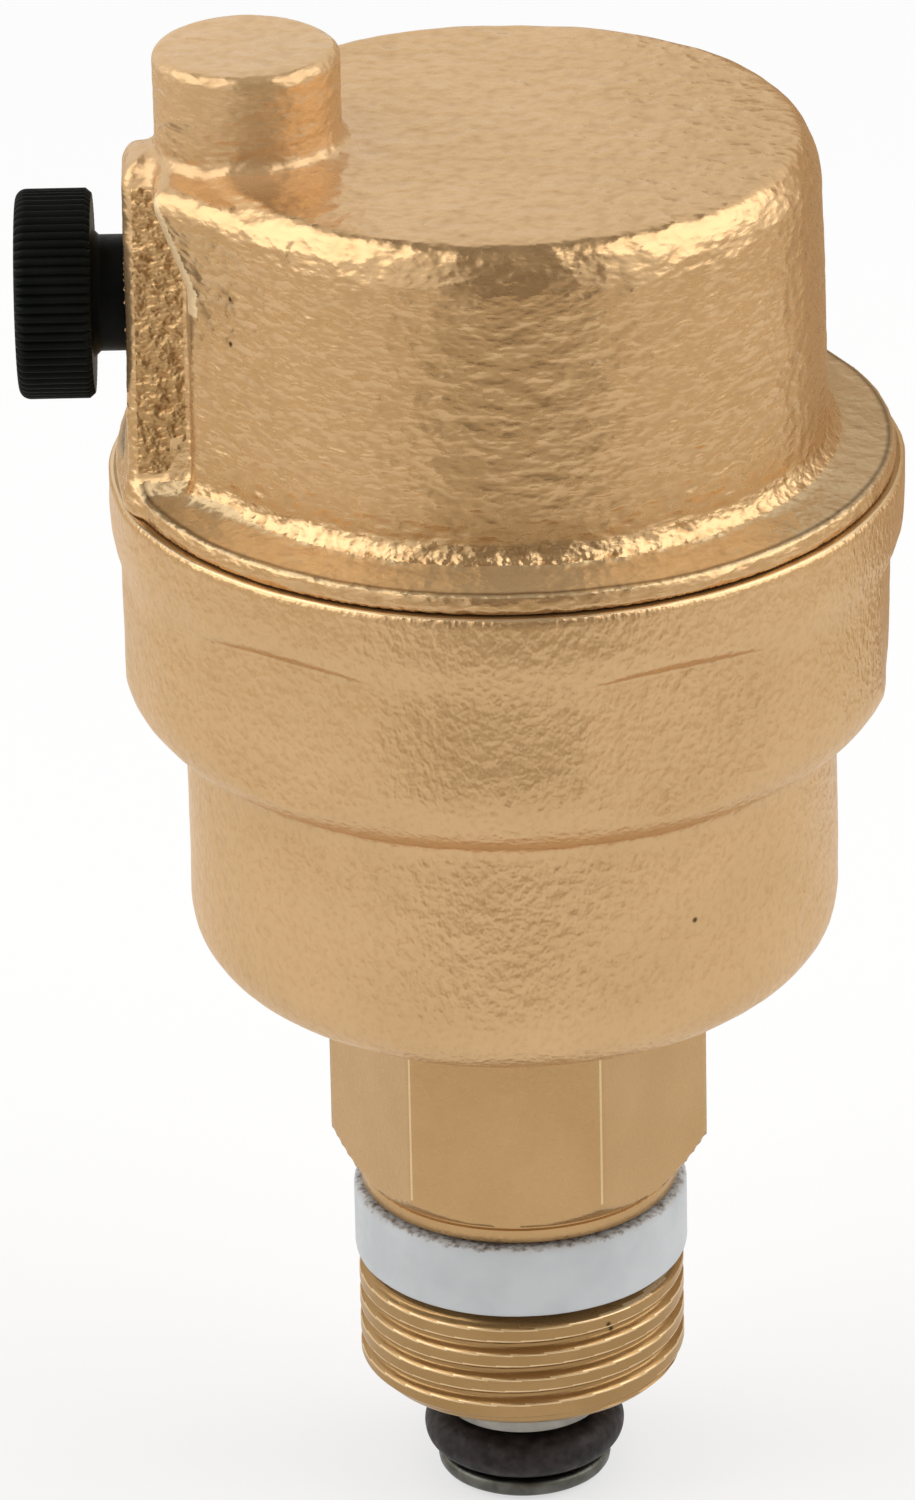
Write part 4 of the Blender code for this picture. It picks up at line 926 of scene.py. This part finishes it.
def card(name, corners, colour):
    """A studio card that only reflections see"""
    mesh = bpy.data.meshes.new(name)
    mesh.from_pydata(corners, [], [tuple(range(len(corners)))])
    paint, _, principled = shader(name)
    principled.inputs["Base Color"].default_value = (*colour, 1)
    principled.inputs["Roughness"].default_value = 1.0
    mesh.materials.append(paint)
    made = bpy.data.objects.new(name, mesh)
    bpy.context.scene.collection.objects.link(made)
    made.visible_camera = False
    made.visible_diffuse = False
    made.visible_shadow = False


def upright_card(name, azimuth, half_width, distance, low, high, colour):
    """A card that stands round the valve at an azimuth in degrees, where 0 is the camera's side"""
    corners = []
    for side, level in ((-1, low), (1, low), (1, high), (-1, high)):
        turn = radians(azimuth + side * half_width)
        corners.append((distance * sin(turn), -distance * cos(turn), level))
    card(name, corners, colour)


def horizon_band(colour):
    """A low band all round the valve, whose reflection brings out the grain of the brass"""
    for i in range(BAND_SIDES):
        azimuth = 360 * (i + 0.5) / BAND_SIDES
        name = f"horizon_band_{i:02d}"
        upright_card(name, azimuth, 180 / BAND_SIDES, BAND_AWAY, CARDS_FOOT, BAND_TOP, colour)


def make_floor():
    """A pale floor, mixed with white for the rays that see it, so that only its shadows show"""
    level = cad_box[0].z - FLOOR_DROP
    sides = ((-1, -1), (1, -1), (1, 1), (-1, 1))
    mesh = bpy.data.meshes.new("floor")
    mesh.from_pydata([(x * FLOOR_HALF, y * FLOOR_HALF, level) for x, y in sides], [], [(0, 1, 2, 3)])
    pale, tree, principled = shader("pale_floor")
    principled.inputs["Base Color"].default_value = (*FLOOR_COLOUR, 1)
    principled.inputs["Roughness"].default_value = 0.9
    lit = tree.nodes.new("ShaderNodeEmission")
    mixed = tree.nodes.new("ShaderNodeMixShader")
    tree.links.new(ramp(tree, seen_rays(tree), 0, 1, 0, FLOOR_WHITE), mixed.inputs["Fac"])
    tree.links.new(principled.outputs["BSDF"], mixed.inputs[1])
    tree.links.new(lit.outputs["Emission"], mixed.inputs[2])
    tree.links.new(mixed.outputs["Shader"], tree.nodes["Material Output"].inputs["Surface"])
    mesh.materials.append(pale)
    floor = bpy.data.objects.new("floor", mesh)
    bpy.context.scene.collection.objects.link(floor)


def make_studio():
    """The floor, the world, two soft boxes and the cards that the brass reflects"""
    make_floor()
    make_world()
    soft_box("left_box", (-BOX_AWAY, BOX_FORWARD, BOX_UP))
    soft_box("right_box", (BOX_AWAY, BOX_FORWARD, BOX_UP))
    horizon_band((0.74, 0.63, 0.47))
    upright_card("front_card_foot", -8, 17, CARDS_AWAY, CARDS_FOOT, 0.004, (0.58, 0.50, 0.38))
    upright_card("front_card_low", 3, 29, CARDS_AWAY, 0.004, 0.06, (0.62, 0.54, 0.42))
    upright_card("front_card_high", 5, 24, CARDS_AWAY, 0.06, 0.30, (0.17, 0.115, 0.05))
    overhead = [(side * OVERHEAD_HALF, forward, OVERHEAD_UP) for side, forward in (
        (-1, OVERHEAD_FRONT), (1, OVERHEAD_FRONT), (1, OVERHEAD_BACK), (-1, OVERHEAD_BACK))]
    card("overhead_card", overhead, (0.12, 0.085, 0.04))
    upright_card("right_card", 145, 28, CARDS_AWAY, CARDS_FOOT, 0.12, (0.50, 0.37, 0.24))


def make_world():
    """A world that is white to the camera and in reflections, and a plain soft fill for the rest"""
    world = bpy.data.worlds.new("studio")
    bpy.context.scene.world = world
    world.use_nodes = True
    tree = world.node_tree
    background = tree.nodes["Background"]
    background.inputs["Color"].default_value = (1, 1, 1, 1)
    tree.links.new(ramp(tree, seen_rays(tree), 0, 1, FILL_LIGHT, 1), background.inputs["Strength"])


def seen_rays(tree):
    """One for rays from the camera, in reflections and through glass, and zero for the rest"""
    path = tree.nodes.new("ShaderNodeLightPath")
    seen = path.outputs["Is Camera Ray"]
    for kind in ("Is Glossy Ray", "Is Transmission Ray"):
        both = tree.nodes.new("ShaderNodeMath")
        both.operation = 'MAXIMUM'
        tree.links.new(seen, both.inputs[0])
        tree.links.new(path.outputs[kind], both.inputs[1])
        seen = both.outputs["Value"]
    return seen


make_camera()
cast_tones = (0.61, 0.392, 0.190), (0.65, 0.42, 0.212)
# The places given as holes get painted shade for small casting holes and nicks
cover_brass = cast_brass("brass_cover", cast_tones, stretch=(1, 1, 1.9), grain=0.95, depth=0.15, smooth=0.24,
                         rough=0.34, holes=((-16.58, -11.0, 70.95), (-16.67, -11.06, 68.02)))
dulled(cover_brass, (-BOSS_OFFSET, 0), BOSS_RADIUS, BOSS_RADIUS + 4.5, 0.42)
body_brass = cast_brass("brass_body", cast_tones, stretch=(1, 1, 0.8), grain=2.4, depth=0.11, smooth=0.28,
                        rough=0.38, pits=0.1, swell=0.7, holes=((10.97, -17.32, 31.46),))
# A darker, rougher brass for the block's recessed side: rough casting finish, with painted shade in its
# darker tone
rough_shaded_brass = cast_brass("brass_rough_painted_shade", ((0.47, 0.285, 0.122), (0.55, 0.345, 0.16)), stretch=(1, 1, 1.3),
                         grain=2.0, depth=0.22, smooth=0.28, rough=0.42, pits=0.9)
flange_brass = cast_brass("brass_flange", ((0.50, 0.355, 0.185), (0.56, 0.40, 0.215)), stretch=(1, 1, 1.5),
                          grain=1.2, depth=0.15, smooth=0.26, rough=0.36, metallic=0.5)
# A painted shade line in the crease along the flange's edge
paint_crease_shade(flange_brass, FLANGE_RADIUS - 0.45, 0.25, (0.10, 0.05, 0.015))
foot_brass = cast_brass("brass_foot", ((0.60, 0.39, 0.19), (0.66, 0.435, 0.22)), stretch=(1, 1, 1.4),
                        grain=1.5, depth=0.16, smooth=0.24, rough=0.34, pits=0.55)
# A lighter, less metallic brass for the flank's ridge: a painted highlight
ridge_highlight_brass = cast_brass("brass_ridge_highlight", ((0.80, 0.58, 0.32), (0.88, 0.66, 0.39)), stretch=(1, 1, 1.4),
                        grain=1.8, depth=0.06, smooth=0.32, rough=0.42, pits=0.1, metallic=0.25)
cut_brass = machined_brass("brass_cut", (0.49, 0.300, 0.130), (0.53, 0.330, 0.150), turned=False)
turned_brass = machined_brass("brass_turned", (0.36, 0.215, 0.085), (0.41, 0.25, 0.105), turned=True,
                              holes=((5.42, -8.95, -1.45), (5.47, -8.72, -1.78), (5.6, -8.3, -2.12)))
# A lighter brass for thin edge strips: a painted highlight
edge_highlight_brass = machined_brass("brass_edge_highlight", (0.70, 0.51, 0.29), (0.76, 0.56, 0.33), turned=True)
white_seal = plain("seal_white", (0.50, 0.52, 0.53), (0.56, 0.58, 0.59), metallic=0, smooth=0.45, rough=0.6,
                   scale=2.0, depth=0.02)
smudged(white_seal, seal_high.z + 0.1, 1.3, (0.09, 0.045, 0.015))
rubber = plain("rubber_black", (0.008, 0.006, 0.006), (0.035, 0.027, 0.026), metallic=0, smooth=0.45,
               rough=0.65, scale=1.6, depth=0.08, shine=0.25, patch=1.1)
# Lit and shaded copies of the spigot's grey metal: painted light above the O-ring, painted shade on its lower
# end
lit_grey = plain("metal_lit_grey", (0.26, 0.245, 0.215), (0.34, 0.325, 0.29), metallic=1, smooth=0.3, rough=0.42,
             scale=2.0, depth=0.02, patch=0.8)
shaded_grey = plain("metal_shaded_grey", (0.09, 0.088, 0.075), (0.15, 0.147, 0.13), metallic=1, smooth=0.35, rough=0.5,
                  scale=2.0, depth=0.02, patch=0.8)
black = plain("plastic_black", (0.004, 0.005, 0.004), (0.007, 0.008, 0.007), metallic=0, smooth=0.4,
              rough=0.5, scale=3.0, depth=0.01, shine=0.06)
steel = plain("steel_satin", (0.56, 0.56, 0.54), (0.66, 0.66, 0.64), metallic=1, smooth=0.22, rough=0.36,
              scale=2.0, depth=0.01)
wire = plain("steel_wire", (0.40, 0.40, 0.41), (0.50, 0.50, 0.51), metallic=1, smooth=0.3, rough=0.42,
             scale=4.0, depth=0.01)
plastic = plain("float_white", (0.68, 0.68, 0.64), (0.74, 0.74, 0.70), metallic=0, smooth=0.4, rough=0.5,
                scale=1.0, depth=0.01)

make_body([body_brass, turned_brass, cut_brass, turned_brass, edge_highlight_brass])
make_cover([cover_brass, rough_shaded_brass, flange_brass, foot_brass, ridge_highlight_brass])
make_seals(white_seal, rubber, lit_grey, shaded_grey)
make_knob(black)
FINISHES = {
    rubber: ("cover_oring", "seat_oring", "valve_disc", "vent_washer"),
    turned_brass: ("valve_seat",),
    steel: ("valve_stem", "stem_pin", "spring_retainer", "stem_nut", "lever_bracket", "fulcrum_pin",
            "fulcrum_spacer_front", "fulcrum_spacer_back", "float_lever", "float_pin"),
    wire: ("valve_spring",),
    plastic: ("float_shell", "float_base"),
}
for finish, names in FINISHES.items():
    for node in names:
        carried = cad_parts[node]
        for place in carried.material_slots:
            place.material = finish
make_studio()
bpy.context.scene.view_settings.view_transform = 'Standard'
